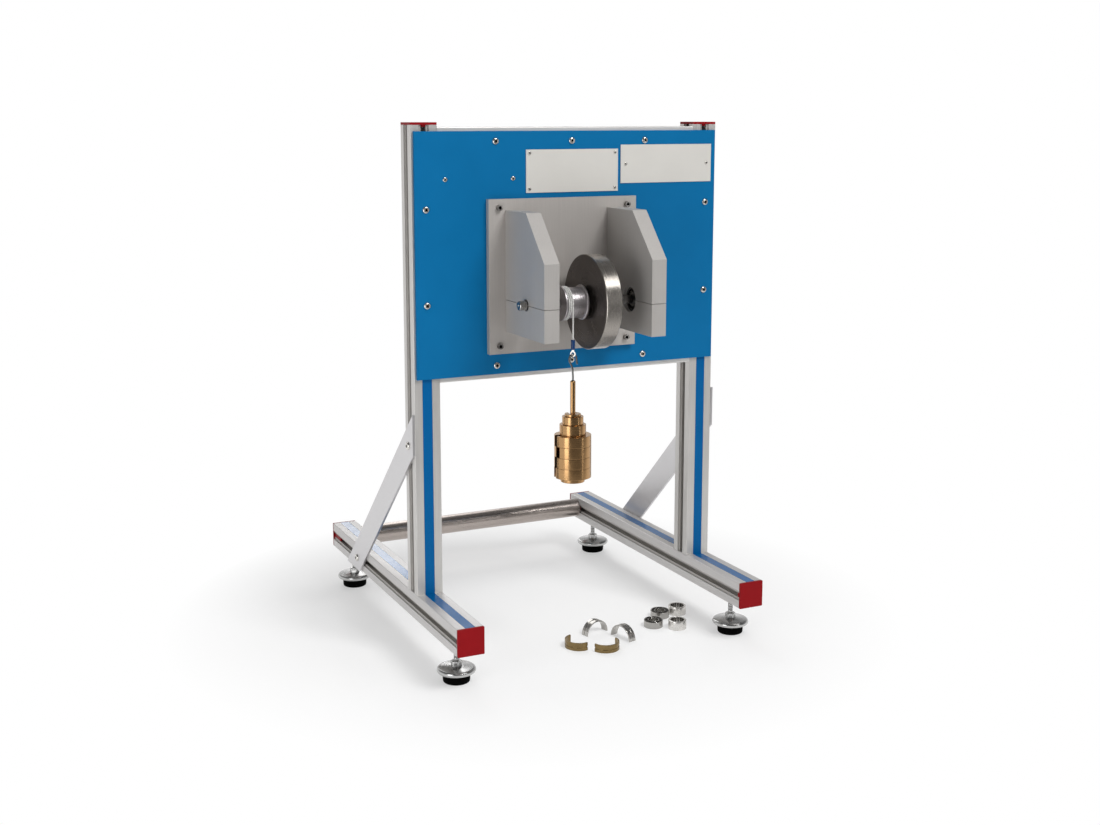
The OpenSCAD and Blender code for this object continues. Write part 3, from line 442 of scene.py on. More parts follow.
# Solids that keep their own shape, some with a second finish on part of their faces
KEPT = {
    "rail": ("left_rail", "right_rail"), "post": ("left_post", "right_post"),
    "beam": ("top_beam", "lower_beam"), "blue_strip": ("cover_strips",),
    "dark_screw": ("core_screws", "slot_nuts", "plate_nuts", "block_cap_screws", "block_screws"),
    "mounted": ("bearing_outer_rings", "bearing_inner_rings"),
    "roller": ("bearing_rollers",), "drum": ("drum",), "wheel_rim": ("flywheel",),
}
PROFILES = {"left_rail": Y_AXIS, "right_rail": Y_AXIS, "left_post": Z_AXIS, "right_post": Z_AXIS,
            "top_beam": X_AXIS, "lower_beam": X_AXIS}
PROFILE_SKIN = 2.2 * MM
RAIL_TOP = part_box("left_rail")[1].z
STRIP_PROUD = 1 * MM
FACING_ALONG, FACING_ACROSS = 0.9, 0.5


def second_finish(node, finish, chosen):
    """Gives the faces of a solid that a test chooses another finish."""
    mesh = NODES[node].data
    mesh.materials.append(FINISHES[finish])
    for face in mesh.polygons:
        face.material_index = 1 if chosen(face) else 0


def inside_profile(node, along):
    """A test for the faces in the slots and the core of a profile, which get a darker finish as painted
    shade.
    """
    low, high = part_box(node)
    across = [i for i in range(3) if i != along]

    def chosen(face):
        painted_deep_shade = all(low[i] + PROFILE_SKIN < face.center[i] < high[i] - PROFILE_SKIN for i in across)
        return painted_deep_shade and abs(face.normal[along]) < FACING_ACROSS
    return chosen


for finish, nodes in KEPT.items():
    for node in nodes:
        mesh = NODES[node].data
        mesh.materials.clear()
        mesh.materials.append(FINISHES[finish])
# Painted shade: the flywheel's flat end faces get the darker copy of its steel
second_finish("flywheel", "wheel_face", lambda face: abs(face.normal.x) > FACING_ALONG)
second_finish("cover_strips", "rail_strip", lambda face: face.center.z < RAIL_TOP + STRIP_PROUD)
# Painted shade: the faces inside each profile's slots and core get the darker slot finish
for node, along in PROFILES.items():
    second_finish(node, "slot", inside_profile(node, along))


# Round shapes built up ring by ring
TIP_SHARE = 0.85
UNDERSIDE_SHARE = 0.99
DOME_STEPS = 6
DOME_FLAT = 0.52
DOME_EDGE = 0.15 * MM
CROSS_CORE = 0.38
CROSS_SHARP = 6
KNURLS = 36
KNURL_DEEP = 0.18 * MM
KNURL_FROM, KNURL_TO = 0.4 * MM, 0.7 * MM
COLLAR_FROM, COLLAR_TO = 0.5 * MM, 0.15 * MM
COLLAR_CHAMFER = 0.5 * MM


def stacked(name, rings, columns, closed=False, painted_shade_from=None):
    """A shape from rings of (height, radius), where radius is a number or a function of the angle.

    A closed shape joins its last ring to its first. The rings from the index that the last argument gives lie
    inside a recess and are marked for painted shade."""
    shape = bmesh.new()
    # Marks the points inside a recess, where painted shade goes
    painted_deep_shade = shape.verts.layers.float.new("painted_deep_shade")
    loops = []
    for index, (height, radius) in enumerate(rings):
        loop = []
        for j in range(1 if radius == 0 else columns):
            a = 2 * math.pi * j / columns
            r = radius(a) if callable(radius) else radius
            vert = shape.verts.new((r * math.cos(a), r * math.sin(a), height))
            vert[painted_deep_shade] = 1.0 if painted_shade_from is not None and index >= painted_shade_from else 0.0
            loop.append(vert)
        loops.append(loop)
    if closed:
        loops.append(loops[0])
    for lower, upper in zip(loops, loops[1:]):
        for j in range(columns):
            k = (j + 1) % columns
            corners = [loop[i % len(loop)] for loop, i in ((lower, j), (lower, k), (upper, k), (upper, j))]
            corners = list(dict.fromkeys(corners))
            if len(corners) > 2:
                shape.faces.new(corners)
    bmesh.ops.recalc_face_normals(shape, faces=shape.faces)
    mesh = bpy.data.meshes.new(name)
    shape.to_mesh(mesh)
    shape.free()
    return mesh


def gathered(name, placed):
    """One mesh from (mesh, matrix) pairs, which are used up."""
    shape = bmesh.new()
    for mesh, matrix in placed:
        mesh.transform(matrix)
        shape.from_mesh(mesh)
        bpy.data.meshes.remove(mesh)
    whole = bpy.data.meshes.new(name)
    shape.to_mesh(whole)
    shape.free()
    return whole


def hexagon(across_flats, ease=0.0):
    """Radius of a hexagon at an angle, with its corners cut back by ease."""
    def radius(angle):
        off = (angle + math.pi / 6) % (math.pi / 3) - math.pi / 6
        return min(across_flats / 2 / math.cos(off), across_flats / math.sqrt(3) - ease)
    return radius


def cross_recess(size):
    """Radius of a cross with rounded arms at an angle."""
    return lambda angle: size * (CROSS_CORE + (1 - CROSS_CORE) * abs(math.cos(2 * angle)) ** CROSS_SHARP)


def knurled(radius):
    """Radius of a rim with shallow ridges at an angle."""
    return lambda angle: radius - KNURL_DEEP * (0.5 - 0.5 * math.cos(KNURLS * angle))


def shank_rings(radius, length, chamfer):
    """Rings of a shank from its tip to the underside of the head."""
    return [(-length, 0), (-length, radius * TIP_SHARE), (-length + chamfer, radius), (0, radius)]


def recess_rings(top, recess, depth, lip, cone):
    """Rings of a driver's recess from its rim to its pointed bottom. All but the first lie inside it."""
    return [(top, lambda angle: recess(angle) + lip), (top - lip, recess), (top - depth, recess),
            (top - depth - cone, 0)]


def button_rings(radius, height, recess, depth):
    """Rings of a domed head from its underside to the bottom of its recess."""
    rings = [(0, radius * UNDERSIDE_SHARE)]
    flat = radius * DOME_FLAT
    for i in range(DOME_STEPS + 1):
        a = math.pi / 2 * i / DOME_STEPS
        rings.append(((height - DOME_EDGE) * math.sin(a) + DOME_EDGE, flat + (radius - flat) * math.cos(a)))
    return rings + recess_rings(height, recess, depth, lip=0.2 * MM, cone=0.5 * MM)


def socket_rings(radius, height, recess, depth):
    """Rings of a knurled round head from its underside to the bottom of its recess."""
    side = knurled(radius)
    rings = [(0, radius - KNURL_FROM), (KNURL_FROM, side), (height - KNURL_TO, side),
             (height - COLLAR_FROM, radius), (height - COLLAR_TO, radius), (height, radius - COLLAR_CHAMFER)]
    return rings + recess_rings(height, recess, depth, lip=0.25 * MM, cone=0.7 * MM)


# Geometry trees that place what repeats
SPIRAL_STEPS = 20
RIDGE_SIDES = 4
CORE_SIDES = 28


def new_tree(name, inputs):
    """An empty geometry tree, and the sockets that give its named inputs."""
    group = bpy.data.node_groups.new(name, "GeometryNodeTree")
    group.interface.new_socket("Geometry", in_out="INPUT", socket_type="NodeSocketGeometry")
    for label, kind, value in inputs:
        socket = group.interface.new_socket(label, in_out="INPUT", socket_type="NodeSocket" + kind)
        if value is not None:
            socket.default_value = value
    group.interface.new_socket("Geometry", in_out="OUTPUT", socket_type="NodeSocketGeometry")
    tree = Tree(group)
    return tree, tree.add("NodeGroupInput").outputs


def joined(tree, *shapes):
    node = tree.add("GeometryNodeJoinGeometry")
    for shape in shapes:
        tree.tree.links.new(shape, node.inputs[0])
    return node.outputs[0]


def ended(tree, shape, given):
    """Ends a tree in real geometry with its finish."""
    real = tree.add("GeometryNodeRealizeInstances", {0: shape})
    paint = tree.add("GeometryNodeSetMaterial", {"Geometry": real.outputs[0], "Material": given["Finish"]})
    tree.add("NodeGroupOutput", {0: paint.outputs[0]})
    return tree.tree


def screws_tree():
    """Places a screw on every point, facing as the point says and turned by chance about its own axis."""
    tree, given = new_tree("screws_on_points", [
        ("Screw", "Object", None), ("Seed", "Int", 1), ("Finish", "Material", None)])
    points = tree.add("GeometryNodeMeshToPoints", {"Mesh": given["Geometry"]})
    screw = tree.add("GeometryNodeObjectInfo", {"Object": given["Screw"]})
    spin = tree.add("FunctionNodeRandomValue", {3: 2 * math.pi, "Seed": given["Seed"]}, data_type="FLOAT")
    about = tree.add("FunctionNodeAxisAngleToRotation", {"Axis": (0, 0, 1), "Angle": spin.outputs[1]})
    way = tree.add("GeometryNodeInputNamedAttribute", {"Name": "facing"}, data_type="FLOAT_VECTOR")
    facing = tree.add("FunctionNodeEulerToRotation", {"Euler": way.outputs["Attribute"]})
    both = tree.add("FunctionNodeRotateRotation", {
        "Rotation": facing.outputs[0], "Rotate By": about.outputs[0]}, rotation_space="LOCAL")
    placed = tree.add("GeometryNodeInstanceOnPoints", {
        "Points": points.outputs[0], "Instance": screw.outputs["Geometry"], "Rotation": both.outputs[0]})
    return ended(tree, placed.outputs[0], given)


def thread_tree():
    """A threaded rod that stands on a spot, a core with a ridge wound round it, beside the shape it gets."""
    tree, given = new_tree("threaded_rod", [
        ("Core radius", "Float", 3.8 * MM), ("Ridge", "Float", 0.5 * MM), ("Turns", "Float", 30.0),
        ("Length", "Float", 40 * MM), ("Spot", "Vector", (0, 0, 0)), ("Finish", "Material", None)])
    spiral = tree.add("GeometryNodeCurveSpiral", {
        "Resolution": SPIRAL_STEPS, "Rotations": given["Turns"], "Start Radius": given["Core radius"],
        "End Radius": given["Core radius"], "Height": given["Length"]})
    section = tree.add("GeometryNodeCurvePrimitiveCircle", {
        "Resolution": RIDGE_SIDES, "Radius": given["Ridge"]})
    ridge = tree.add("GeometryNodeCurveToMesh", {
        "Curve": spiral.outputs[0], "Profile Curve": section.outputs[0], "Fill Caps": True})
    core = tree.add("GeometryNodeMeshCylinder", {
        "Vertices": CORE_SIDES, "Radius": given["Core radius"], "Depth": given["Length"]})
    offset = tree.add("ShaderNodeCombineXYZ", {"Z": tree.maths("MULTIPLY", given["Length"], 0.5)})
    lift = tree.add("GeometryNodeTransform", {
        "Geometry": core.outputs["Mesh"], "Translation": offset.outputs[0]})
    stand = tree.add("GeometryNodeTransform", {
        "Geometry": joined(tree, ridge.outputs[0], lift.outputs[0]), "Translation": given["Spot"]})
    return ended(tree, joined(tree, stand.outputs[0], given["Geometry"]), given)


def rolling_tree():
    """Rolling elements evenly round a circle, on every point."""
    tree, given = new_tree("rolling_elements", [
        ("Element", "Object", None), ("Count", "Int", 11), ("Pitch radius", "Float", 12 * MM),
        ("Finish", "Material", None)])
    circle = tree.add("GeometryNodeMeshCircle", {
        "Vertices": given["Count"], "Radius": given["Pitch radius"]})
    element = tree.add("GeometryNodeObjectInfo", {"Object": given["Element"]})
    row = tree.add("GeometryNodeInstanceOnPoints", {
        "Points": circle.outputs["Mesh"], "Instance": element.outputs["Geometry"]})
    points = tree.add("GeometryNodeMeshToPoints", {"Mesh": given["Geometry"]})
    placed = tree.add("GeometryNodeInstanceOnPoints", {
        "Points": points.outputs[0], "Instance": row.outputs[0]})
    return ended(tree, placed.outputs[0], given)


SCREWS = screws_tree()
THREAD = thread_tree()
ROLLING = rolling_tree()


def run_tree(name, tree, start, facings=None, **values):
    """Runs a tree on points at the spots in start, or on a mesh, and makes the result a plain mesh."""
    mesh = start
    if not isinstance(start, bpy.types.Mesh):
        mesh = bpy.data.meshes.new(name)
        mesh.from_pydata([tuple(p) for p in start], [], [])
    if facings:
        layer = mesh.attributes.new("facing", "FLOAT_VECTOR", "POINT")
        for item, turn in zip(layer.data, facings):
            item.vector = turn
    piece = new_piece(name, mesh)
    modifier = piece.modifiers.new("tree", "NODES")
    modifier.node_group = tree
    for item in tree.interface.items_tree:
        if item.in_out == "INPUT" and item.name in values:
            modifier[item.identifier] = values[item.name]
    baked(piece)
    if facings:
        piece.data.attributes.remove(piece.data.attributes["facing"])
    smooth_by_angle(piece)
    return piece


def use_up(form):
    """Removes an object that only served as an instance."""
    mesh = form.data
    bpy.data.objects.remove(form)
    bpy.data.meshes.remove(mesh)


def islands(node):
    """Lowest and highest corner of each separate solid in a node."""
    shape = bmesh.new()
    shape.from_mesh(NODES[node].data)
    bmesh.ops.remove_doubles(shape, verts=shape.verts, dist=MERGED)
    seen, found = set(), []
    for first in shape.verts:
        if first in seen:
            continue
        group, queue = [], [first]
        seen.add(first)
        while queue:
            vert = queue.pop()
            group.append(vert.co.copy())
            for edge in vert.link_edges:
                other = edge.other_vert(vert)
                if other not in seen:
                    seen.add(other)
                    queue.append(other)
        found.append((Vector(min(c[i] for c in group) for i in range(3)),
                      Vector(max(c[i] for c in group) for i in range(3))))
    shape.free()
    return found


# Screws and rivets, each facing along one axis
TO_FRONT = (math.pi / 2, 0, 0)
TO_LEFT = (0, -math.pi / 2, 0)
TO_RIGHT = (0, math.pi / 2, 0)
RECESS_RINGS = 3
ROUND_COLUMNS, KNURLED_COLUMNS = 48, 144
BUTTON_TALL = 3.4 * MM
LABEL_TALL = 2.0 * MM
SOCKET_TALL = 6 * MM
RIVET_TALL = 2 * MM
BUTTON_SHANK = shank_rings(3 * MM, 16.5 * MM, 0.4 * MM)
LABEL_SHANK = shank_rings(1.4 * MM, 6.5 * MM, 0.4 * MM)
SOCKET_SHANK = shank_rings(3 * MM, 20 * MM, 0.5 * MM)
RIVET_SHANK = [(-7 * MM, 0), (-7 * MM, 2.4 * MM), (-6.4 * MM, 3 * MM), (-5 * MM, 3 * MM), (0, 2 * MM)]


def place_screws(node, rings, head, facing, finish, seed, columns=ROUND_COLUMNS):
    """Replaces a node of screws.

    head is how far a head stands out, and facing is one way or a function of the spot."""
    form = new_piece("screw_form", stacked("screw_form", rings, columns, painted_shade_from=len(rings) - RECESS_RINGS))
    spots, facings = [], []
    for low, high in islands(node):
        spot = (low + high) / 2
        turn = facing(spot) if callable(facing) else facing
        way = Euler(turn).to_matrix() @ Vector((0, 0, 1))
        for i in range(3):
            if abs(way[i]) > FACING_ACROSS:
                spot[i] = high[i] - head if way[i] > 0 else low[i] + head
        spots.append(spot)
        facings.append(turn)
    piece = run_tree(node + "_dressed", SCREWS, spots, facings, Screw=form, Seed=seed,
                     Finish=FINISHES[finish])
    use_up(form)
    return settle(piece, node)


def outwards(spot):
    return TO_LEFT if spot.x < 0 else TO_RIGHT


PANEL_HEAD = button_rings(radius=5.9 * MM, height=BUTTON_TALL, recess=hexagon(4.0 * MM), depth=2.0 * MM)
BRACE_HEAD = button_rings(radius=7.0 * MM, height=BUTTON_TALL, recess=hexagon(5.0 * MM), depth=2.0 * MM)
LABEL_HEAD = button_rings(radius=2.8 * MM, height=LABEL_TALL, recess=cross_recess(1.7 * MM), depth=1.0 * MM)
PLATE_HEAD = socket_rings(radius=5 * MM, height=SOCKET_TALL, recess=hexagon(5.0 * MM), depth=3.2 * MM)
RIVET_HEAD = button_rings(radius=4 * MM, height=RIVET_TALL, recess=lambda angle: 1.1 * MM, depth=1.0 * MM)
place_screws("panel_screws", BUTTON_SHANK + PANEL_HEAD, BUTTON_TALL, TO_FRONT, "screw", seed=3)
place_screws("brace_screws", BUTTON_SHANK + BRACE_HEAD, BUTTON_TALL, outwards, "screw", seed=4)
place_screws("label_screws", LABEL_SHANK + LABEL_HEAD, LABEL_TALL, TO_FRONT, "screw", seed=5)
place_screws("plate_screws", SOCKET_SHANK + PLATE_HEAD, SOCKET_TALL, TO_FRONT, "plate_screw", seed=8,
             columns=KNURLED_COLUMNS)
place_screws("panel_rivets", RIVET_SHANK + RIVET_HEAD, RIVET_TALL, TO_FRONT, "screw", seed=6)


# Levelling feet: a plate with a rolled edge, a hexagon and a threaded stud
FOOT_COLUMNS = 96
FOOT_RIM = 4.5 * MM
FOOT_RISE = 2.5 * MM
FOOT_HEX = 16 * MM
RIM_STEPS = 12
UNDERSIDE_INSET = 1.7 * FOOT_RIM
SHOULDER_INSET = 1.9 * FOOT_RIM
SHOULDER_RISE = 0.25 * FOOT_RISE
SLOPE_SHARE = 0.46
SLOPE_RISE = 0.62 * FOOT_RISE
CROWN_R = 0.62 * FOOT_HEX
HEX_TALL = 10 * MM
HEX_SUNK = 2 * MM
HEX_FACE_R = 0.48 * FOOT_HEX
THREAD_SUNK = 0.5 * MM
THREAD_PITCH = 1.25 * MM


def rolled_plate(radius):
    """Rings of the plate from the middle of its underside, round its edge, to the hexagon."""
    rings = [(0, 0), (0, radius - UNDERSIDE_INSET)]
    for i in range(RIM_STEPS + 1):
        a = math.pi * i / RIM_STEPS - math.pi / 2
        rings.append((FOOT_RIM * (1 + math.sin(a)), radius - FOOT_RIM + FOOT_RIM * math.cos(a)))
    top = 2 * FOOT_RIM
    return rings + [(top + SHOULDER_RISE, radius - SHOULDER_INSET), (top + SLOPE_RISE, radius * SLOPE_SHARE),
                    (top + FOOT_RISE, CROWN_R), (top + FOOT_RISE, 0)]


def chamfered_hexagon():
    """Rings of the hexagon, with its upper corners cut back towards a round face."""
    return [(0, 0), (0, hexagon(FOOT_HEX)), (HEX_TALL - 1.1 * MM, hexagon(FOOT_HEX, ease=0.1 * MM)),
            (HEX_TALL - 0.5 * MM, hexagon(FOOT_HEX, ease=0.7 * MM)), (HEX_TALL, HEX_FACE_R), (HEX_TALL, 0)]


def dress_foot(corner):
    """The plate, hexagon and stud of one foot, with the thread from the hexagon up."""
    node = corner + "_stud"
    low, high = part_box(node)
    spot = Vector((FEET[corner].x, FEET[corner].y, low.z))
    seat = 2 * FOOT_RIM + FOOT_RISE - HEX_SUNK
    start = seat + HEX_TALL - THREAD_SUNK
    length = high.z - low.z - start
    plate = stacked("plate", rolled_plate((high.x - low.x) / 2), FOOT_COLUMNS)
    nut = stacked("hexagon", chamfered_hexagon(), FOOT_COLUMNS)
    base = gathered(node, [(plate, Matrix.Translation(spot)),
                           (nut, Matrix.Translation(spot + Vector((0, 0, seat))))])
    piece = run_tree(node + "_dressed", THREAD, base, Turns=length / THREAD_PITCH, Length=length,
                     Spot=spot + Vector((0, 0, start)), Finish=FINISHES["foot"])
    settle(piece, node)


for corner in FEET:
    dress_foot(corner)


# Loose roller and needle bearings, each with rings or a shell and its rolling elements
RING_COLUMNS = 96
WIDEST_ELEMENT = 20 * MM
ELEMENT_GAP = 1 * MM
ELEMENT_CHAMFER = 0.4 * MM
ROLLER_BORE = 8.5 * MM
RACE_SHARE = 0.24
OUTER_CHAMFER, INNER_CHAMFER, CAGE_CHAMFER = 0.7 * MM, 0.6 * MM, 0.3 * MM
CAGE_HALF = 1.5 * MM
CAGE_GAP = 1.8 * MM
ROLLER_PLAY = 0.15 * MM
ROLLERS, ROLLER_COLUMNS = 11, 24
NEEDLE = 1.3 * MM
NEEDLE_PITCH = 13.3 * MM
NEEDLES, NEEDLE_COLUMNS = 20, 14
NEEDLE_SUNK = 0.6 * NEEDLE
NEEDLE_TIP = 0.7 * NEEDLE
LIP_DEEP = 1.7 * MM
LIP_INNER, LIP_CHAMFER = 0.8 * MM, 0.3 * MM
SHELL_WALL = 0.9 * MM
SHELL_ROUND = (0.25 * MM, 0.3 * MM)


def ring_section(outer, inner, low, high, chamfer):
    """The outline that a ring with chamfered edges has when it is cut through."""
    c = chamfer
    return [(low + c, outer), (high - c, outer), (high, outer - c), (high, inner + c),
            (high - c, inner), (low + c, inner), (low, inner + c), (low, outer - c)]


def rings_on(name, node, spots, sections, finish):
    """Closed rings on every spot as one piece."""
    placed = [(stacked("ring", section, RING_COLUMNS, closed=True), Matrix.Translation(spot))
              for spot in spots for section in sections]
    piece = new_piece(name, gathered(name, placed), finish)
    smooth_by_angle(piece)
    return settle(piece, node)


def elements_on(name, node, spots, wide, radius, end_radius, columns, finish, **row):
    """Rolling elements, a little shorter than the bearing is wide, round every spot."""
    low, high = ELEMENT_GAP, wide - ELEMENT_GAP
    rings = [(low, 0), (low, end_radius), (low + ELEMENT_CHAMFER, radius),
             (high - ELEMENT_CHAMFER, radius), (high, end_radius), (high, 0)]
    form = new_piece("element_form", stacked("element_form", rings, columns))
    piece = run_tree(name, ROLLING, spots, Element=form, Finish=FINISHES[finish], **row)
    use_up(form)
    return settle(piece, node)


def bearing_spots(node):
    """Middle of the underside of each loose bearing, and the bearings' radius and width."""
    boxes = [(low, high) for low, high in islands(node) if high.x - low.x > WIDEST_ELEMENT]
    spots = [Vector(((low.x + high.x) / 2, (low.y + high.y) / 2, low.z)) for low, high in boxes]
    low, high = boxes[0]
    return spots, (high.x - low.x) / 2, high.z - low.z


def dress_roller_bearings():
    """An outer and an inner ring, a cage between them, and the rollers."""
    node = "roller_bearings"
    spots, outer, wide = bearing_spots(node)
    wall = outer - ROLLER_BORE
    race = RACE_SHARE * wall
    mid = (outer + ROLLER_BORE) / 2
    roller = (wall - 2 * race) / 2 - ROLLER_PLAY
    rings_on("roller_bearing_rings", node, spots, [
        ring_section(outer, outer - race, 0, wide, OUTER_CHAMFER),
        ring_section(ROLLER_BORE + race, ROLLER_BORE, 0, wide, INNER_CHAMFER)], "bearing")
    cage = ring_section(mid + CAGE_HALF, mid - CAGE_HALF, CAGE_GAP, wide - CAGE_GAP, CAGE_CHAMFER)
    rings_on("roller_bearing_cages", node, spots, [cage], "dark_screw")
    elements_on("roller_bearing_rollers", node, spots, wide, roller, roller - ELEMENT_CHAMFER,
                ROLLER_COLUMNS, "roller", **{"Count": ROLLERS, "Pitch radius": mid})


def dress_needle_bearings():
    """A drawn shell with a lip at both ends, and the needles inside."""
    node = "needle_bearings"
    spots, outer, wide = bearing_spots(node)
    inside = NEEDLE_PITCH + NEEDLE_SUNK
    lip = inside - LIP_DEEP
    round_down, round_in = SHELL_ROUND
    upper = [(wide - SHELL_WALL, outer), (wide - round_down, outer - round_in), (wide, outer - SHELL_WALL),
             (wide, lip + LIP_CHAMFER), (wide - LIP_CHAMFER, lip), (wide - LIP_INNER, lip),
             (wide - SHELL_WALL, inside)]
    lower = [(wide - height, radius) for height, radius in reversed(upper)]
    rings_on("needle_bearing_shells", node, spots, [upper + lower], "pale_shell")
    elements_on("needle_bearing_needles", node, spots, wide, NEEDLE, NEEDLE_TIP, NEEDLE_COLUMNS,
                "bearing", **{"Count": NEEDLES, "Pitch radius": NEEDLE_PITCH})


dress_roller_bearings()
dress_needle_bearings()


# Shaft with a centre hole in each end
SHAFT_COLUMNS = 96
END_CHAMFER = 1 * MM
END_HOLE = 2 * MM
END_HOLE_DEEP = 3 * MM


def dress_shaft():
    """The shaft along its axis, turned to lie from side to side."""
    low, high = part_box("shaft")
    along = high.x - low.x
    radius = (high.z - low.z) / 2
    near = [(END_HOLE_DEEP, 0), (0, END_HOLE), (0, radius - END_CHAMFER), (END_CHAMFER, radius)]
    far = [(along - height, r) for height, r in reversed(near)]
    to_side = Matrix.Translation((low.x, SHAFT.y, SHAFT.z)) @ Matrix.Rotation(math.pi / 2, 4, "Y")
    mesh = gathered("shaft_dressed", [(stacked("shaft", near + far, SHAFT_COLUMNS), to_side)])
    piece = new_piece("shaft_dressed", mesh, "shaft")
    smooth_by_angle(piece)
    settle(piece, "shaft")


dress_shaft()


# Crimp sleeve; the steps of its two pinches are a share of its height and a depth in millimetres
SLEEVE_COLUMNS = 48
SLEEVE_SHARP_ANGLE = 50
PINCH_SHARP = 6
SLEEVE_EDGE = 0.3 * MM
MOUTH_EDGE, MOUTH_WALL = 0.4 * MM, 1.2 * MM
MOUTH_DEEP, MOUTH_NARROW = 2 * MM, 1.6 * MM
PINCHES = ((0.16, 0), (0.22, 0.55), (0.34, 0.55), (0.40, 0), (0.52, 0), (0.58, 0.5), (0.70, 0.5), (0.76, 0))


def pinched(radius, depth):
    """Radius of a pinched tube at an angle."""
    return lambda angle: radius - depth * math.cos(angle) ** PINCH_SHARP


def dress_sleeve():
    """The sleeve from its lower end to the mouth that takes the cord."""
    low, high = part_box("crimp_sleeve")
    tall = high.z - low.z
    radius = (high.x - low.x) / 2
    profile = [(0, 0), (0, radius - SLEEVE_EDGE), (SLEEVE_EDGE, radius)]
    for share, depth in PINCHES:
        profile.append((share * tall, pinched(radius, depth * MM) if depth else radius))
    profile += [(tall - MOUTH_EDGE, radius), (tall, radius - MOUTH_EDGE), (tall, radius - MOUTH_WALL),
                (tall - MOUTH_DEEP, radius - MOUTH_NARROW), (tall - MOUTH_DEEP, 0)]
    spot = Vector(((low.x + high.x) / 2, (low.y + high.y) / 2, low.z))
    mesh = gathered("crimp_sleeve_dressed", [
        (stacked("sleeve", profile, SLEEVE_COLUMNS), Matrix.Translation(spot))])
    piece = new_piece("crimp_sleeve_dressed", mesh, "sleeve")
    smooth_by_angle(piece, SLEEVE_SHARP_ANGLE)
    settle(piece, "crimp_sleeve")
    return piece


sleeve = dress_sleeve()


# Cord: turns on the drum and the straight run down to the crimp sleeve
CORD_D = 2.6 * MM
CORD_SIDES = 14
CORD_PITCH = 3.2 * MM
CORD_TURNS = 2.5
CORD_BEND = 1.5 * CORD_D
WIND_R = 26.4 * MM
TURN_STEPS = 96
BEND_STEPS = 8
DROP_STEPS = 40
SIDEWAYS = Vector((1, 0, 0))
SLEEVE_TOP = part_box("crimp_sleeve")[1].z
DROP = middle("cord_drop")
DROP_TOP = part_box("cord_drop")[1].z


def winding_points():
    """From the pocket in the drum, round the turns, to the front of the drum."""
    x0 = DROP.x - CORD_TURNS * CORD_PITCH
    start = math.pi - 2 * math.pi * CORD_TURNS
    foot = WIND_R - CORD_BEND

    def on_drum(x, r, along, turn):
        return Vector((x, SHAFT.y + r * math.cos(turn) - along * math.sin(turn),
                       SHAFT.z + r * math.sin(turn) + along * math.cos(turn)))

    points = [on_drum(x0, foot - CORD_D, 0, start), on_drum(x0, foot, 0, start)]
    for i in range(1, BEND_STEPS + 1):
        a = math.pi / 2 * i / BEND_STEPS
        points.append(on_drum(x0, foot + CORD_BEND * math.sin(a), CORD_BEND * (1 - math.cos(a)), start))
    steps = int(CORD_TURNS * TURN_STEPS)
    for i in range(BEND_STEPS, steps + 1):
        turned = CORD_TURNS * i / steps
        points.append(on_drum(x0 + CORD_PITCH * turned, WIND_R, 0, start + 2 * math.pi * turned))
    points.append(Vector((DROP.x, SHAFT.y - WIND_R, DROP_TOP)))
    return points


def tube_along(name, points, diameter, sides, first, finish, ends=()):
    """A closed tube along points, with a map that runs round in U and along in V.

    The last rings are narrowed by the factors in ends."""
    last = len(points) - 1
    shape = bmesh.new()
    map_layer = shape.loops.layers.uv.new("map")
    normal = first
    rings, reach = [], []
    so_far = 0.0
    for i, point in enumerate(points):
        direction = (points[min(i + 1, last)] - points[max(i - 1, 0)]).normalized()
        so_far += (point - points[max(i - 1, 0)]).length
        normal = (normal - direction * normal.dot(direction)).normalized()
        side = direction.cross(normal)
        left = last - i
        r = diameter / 2 * (ends[-1 - left] if left < len(ends) else 1)
        ring = []
        for j in range(sides):
            a = 2 * math.pi * j / sides
            ring.append(shape.verts.new(point + r * (math.cos(a) * normal + math.sin(a) * side)))
        rings.append(ring)
        reach.append(so_far / (math.pi * diameter))
    for i in range(last):
        for j in range(sides):
            k = (j + 1) % sides
            face = shape.faces.new((rings[i][j], rings[i][k], rings[i + 1][k], rings[i + 1][j]))
            face.smooth = True
            spots = ((j, i), (j + 1, i), (j + 1, i + 1), (j, i + 1))
            for loop, (u, v) in zip(face.loops, spots):
                loop[map_layer].uv = (u / sides, reach[v])
    shape.faces.new(list(reversed(rings[0])))
    shape.faces.new(rings[-1])
    bmesh.ops.recalc_face_normals(shape, faces=shape.faces)
    mesh = bpy.data.meshes.new(name)
    shape.to_mesh(mesh)
    shape.free()
    return new_piece(name, mesh, finish)


winding = tube_along("cord_turns", winding_points(), CORD_D, CORD_SIDES, SIDEWAYS, "cord")
settle(winding, "cord_winding")

drop_points = [Vector((DROP.x, SHAFT.y - WIND_R, DROP_TOP + (SLEEVE_TOP - DROP_TOP) * i / DROP_STEPS))
               for i in range(DROP_STEPS + 1)]
drop = tube_along("cord_run", drop_points, CORD_D, CORD_SIDES, SIDEWAYS, "cord")
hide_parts("cord_drop")
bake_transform(drop)


# Hook bent from one wire
HOOK_WIRE = 3 * MM
HOOK_SIDES = 24
HOOK_R = 6.5 * MM
HOOK_TAIL = 10 * MM
HOOK_LEAN = 22 * MM
HOOK_STEM = 13.5 * MM
HOOK_TURN = math.radians(5)
HOOK_TIP = (0.98, 0.9, 0.6)
STEM_SWAY = 0.4 * MM
TAIL_FLARE = (0.5 * MM, 1.5 * MM)
LEAN_STEPS = 6
BOW_STEPS = 12
FINE_STEPS = 6


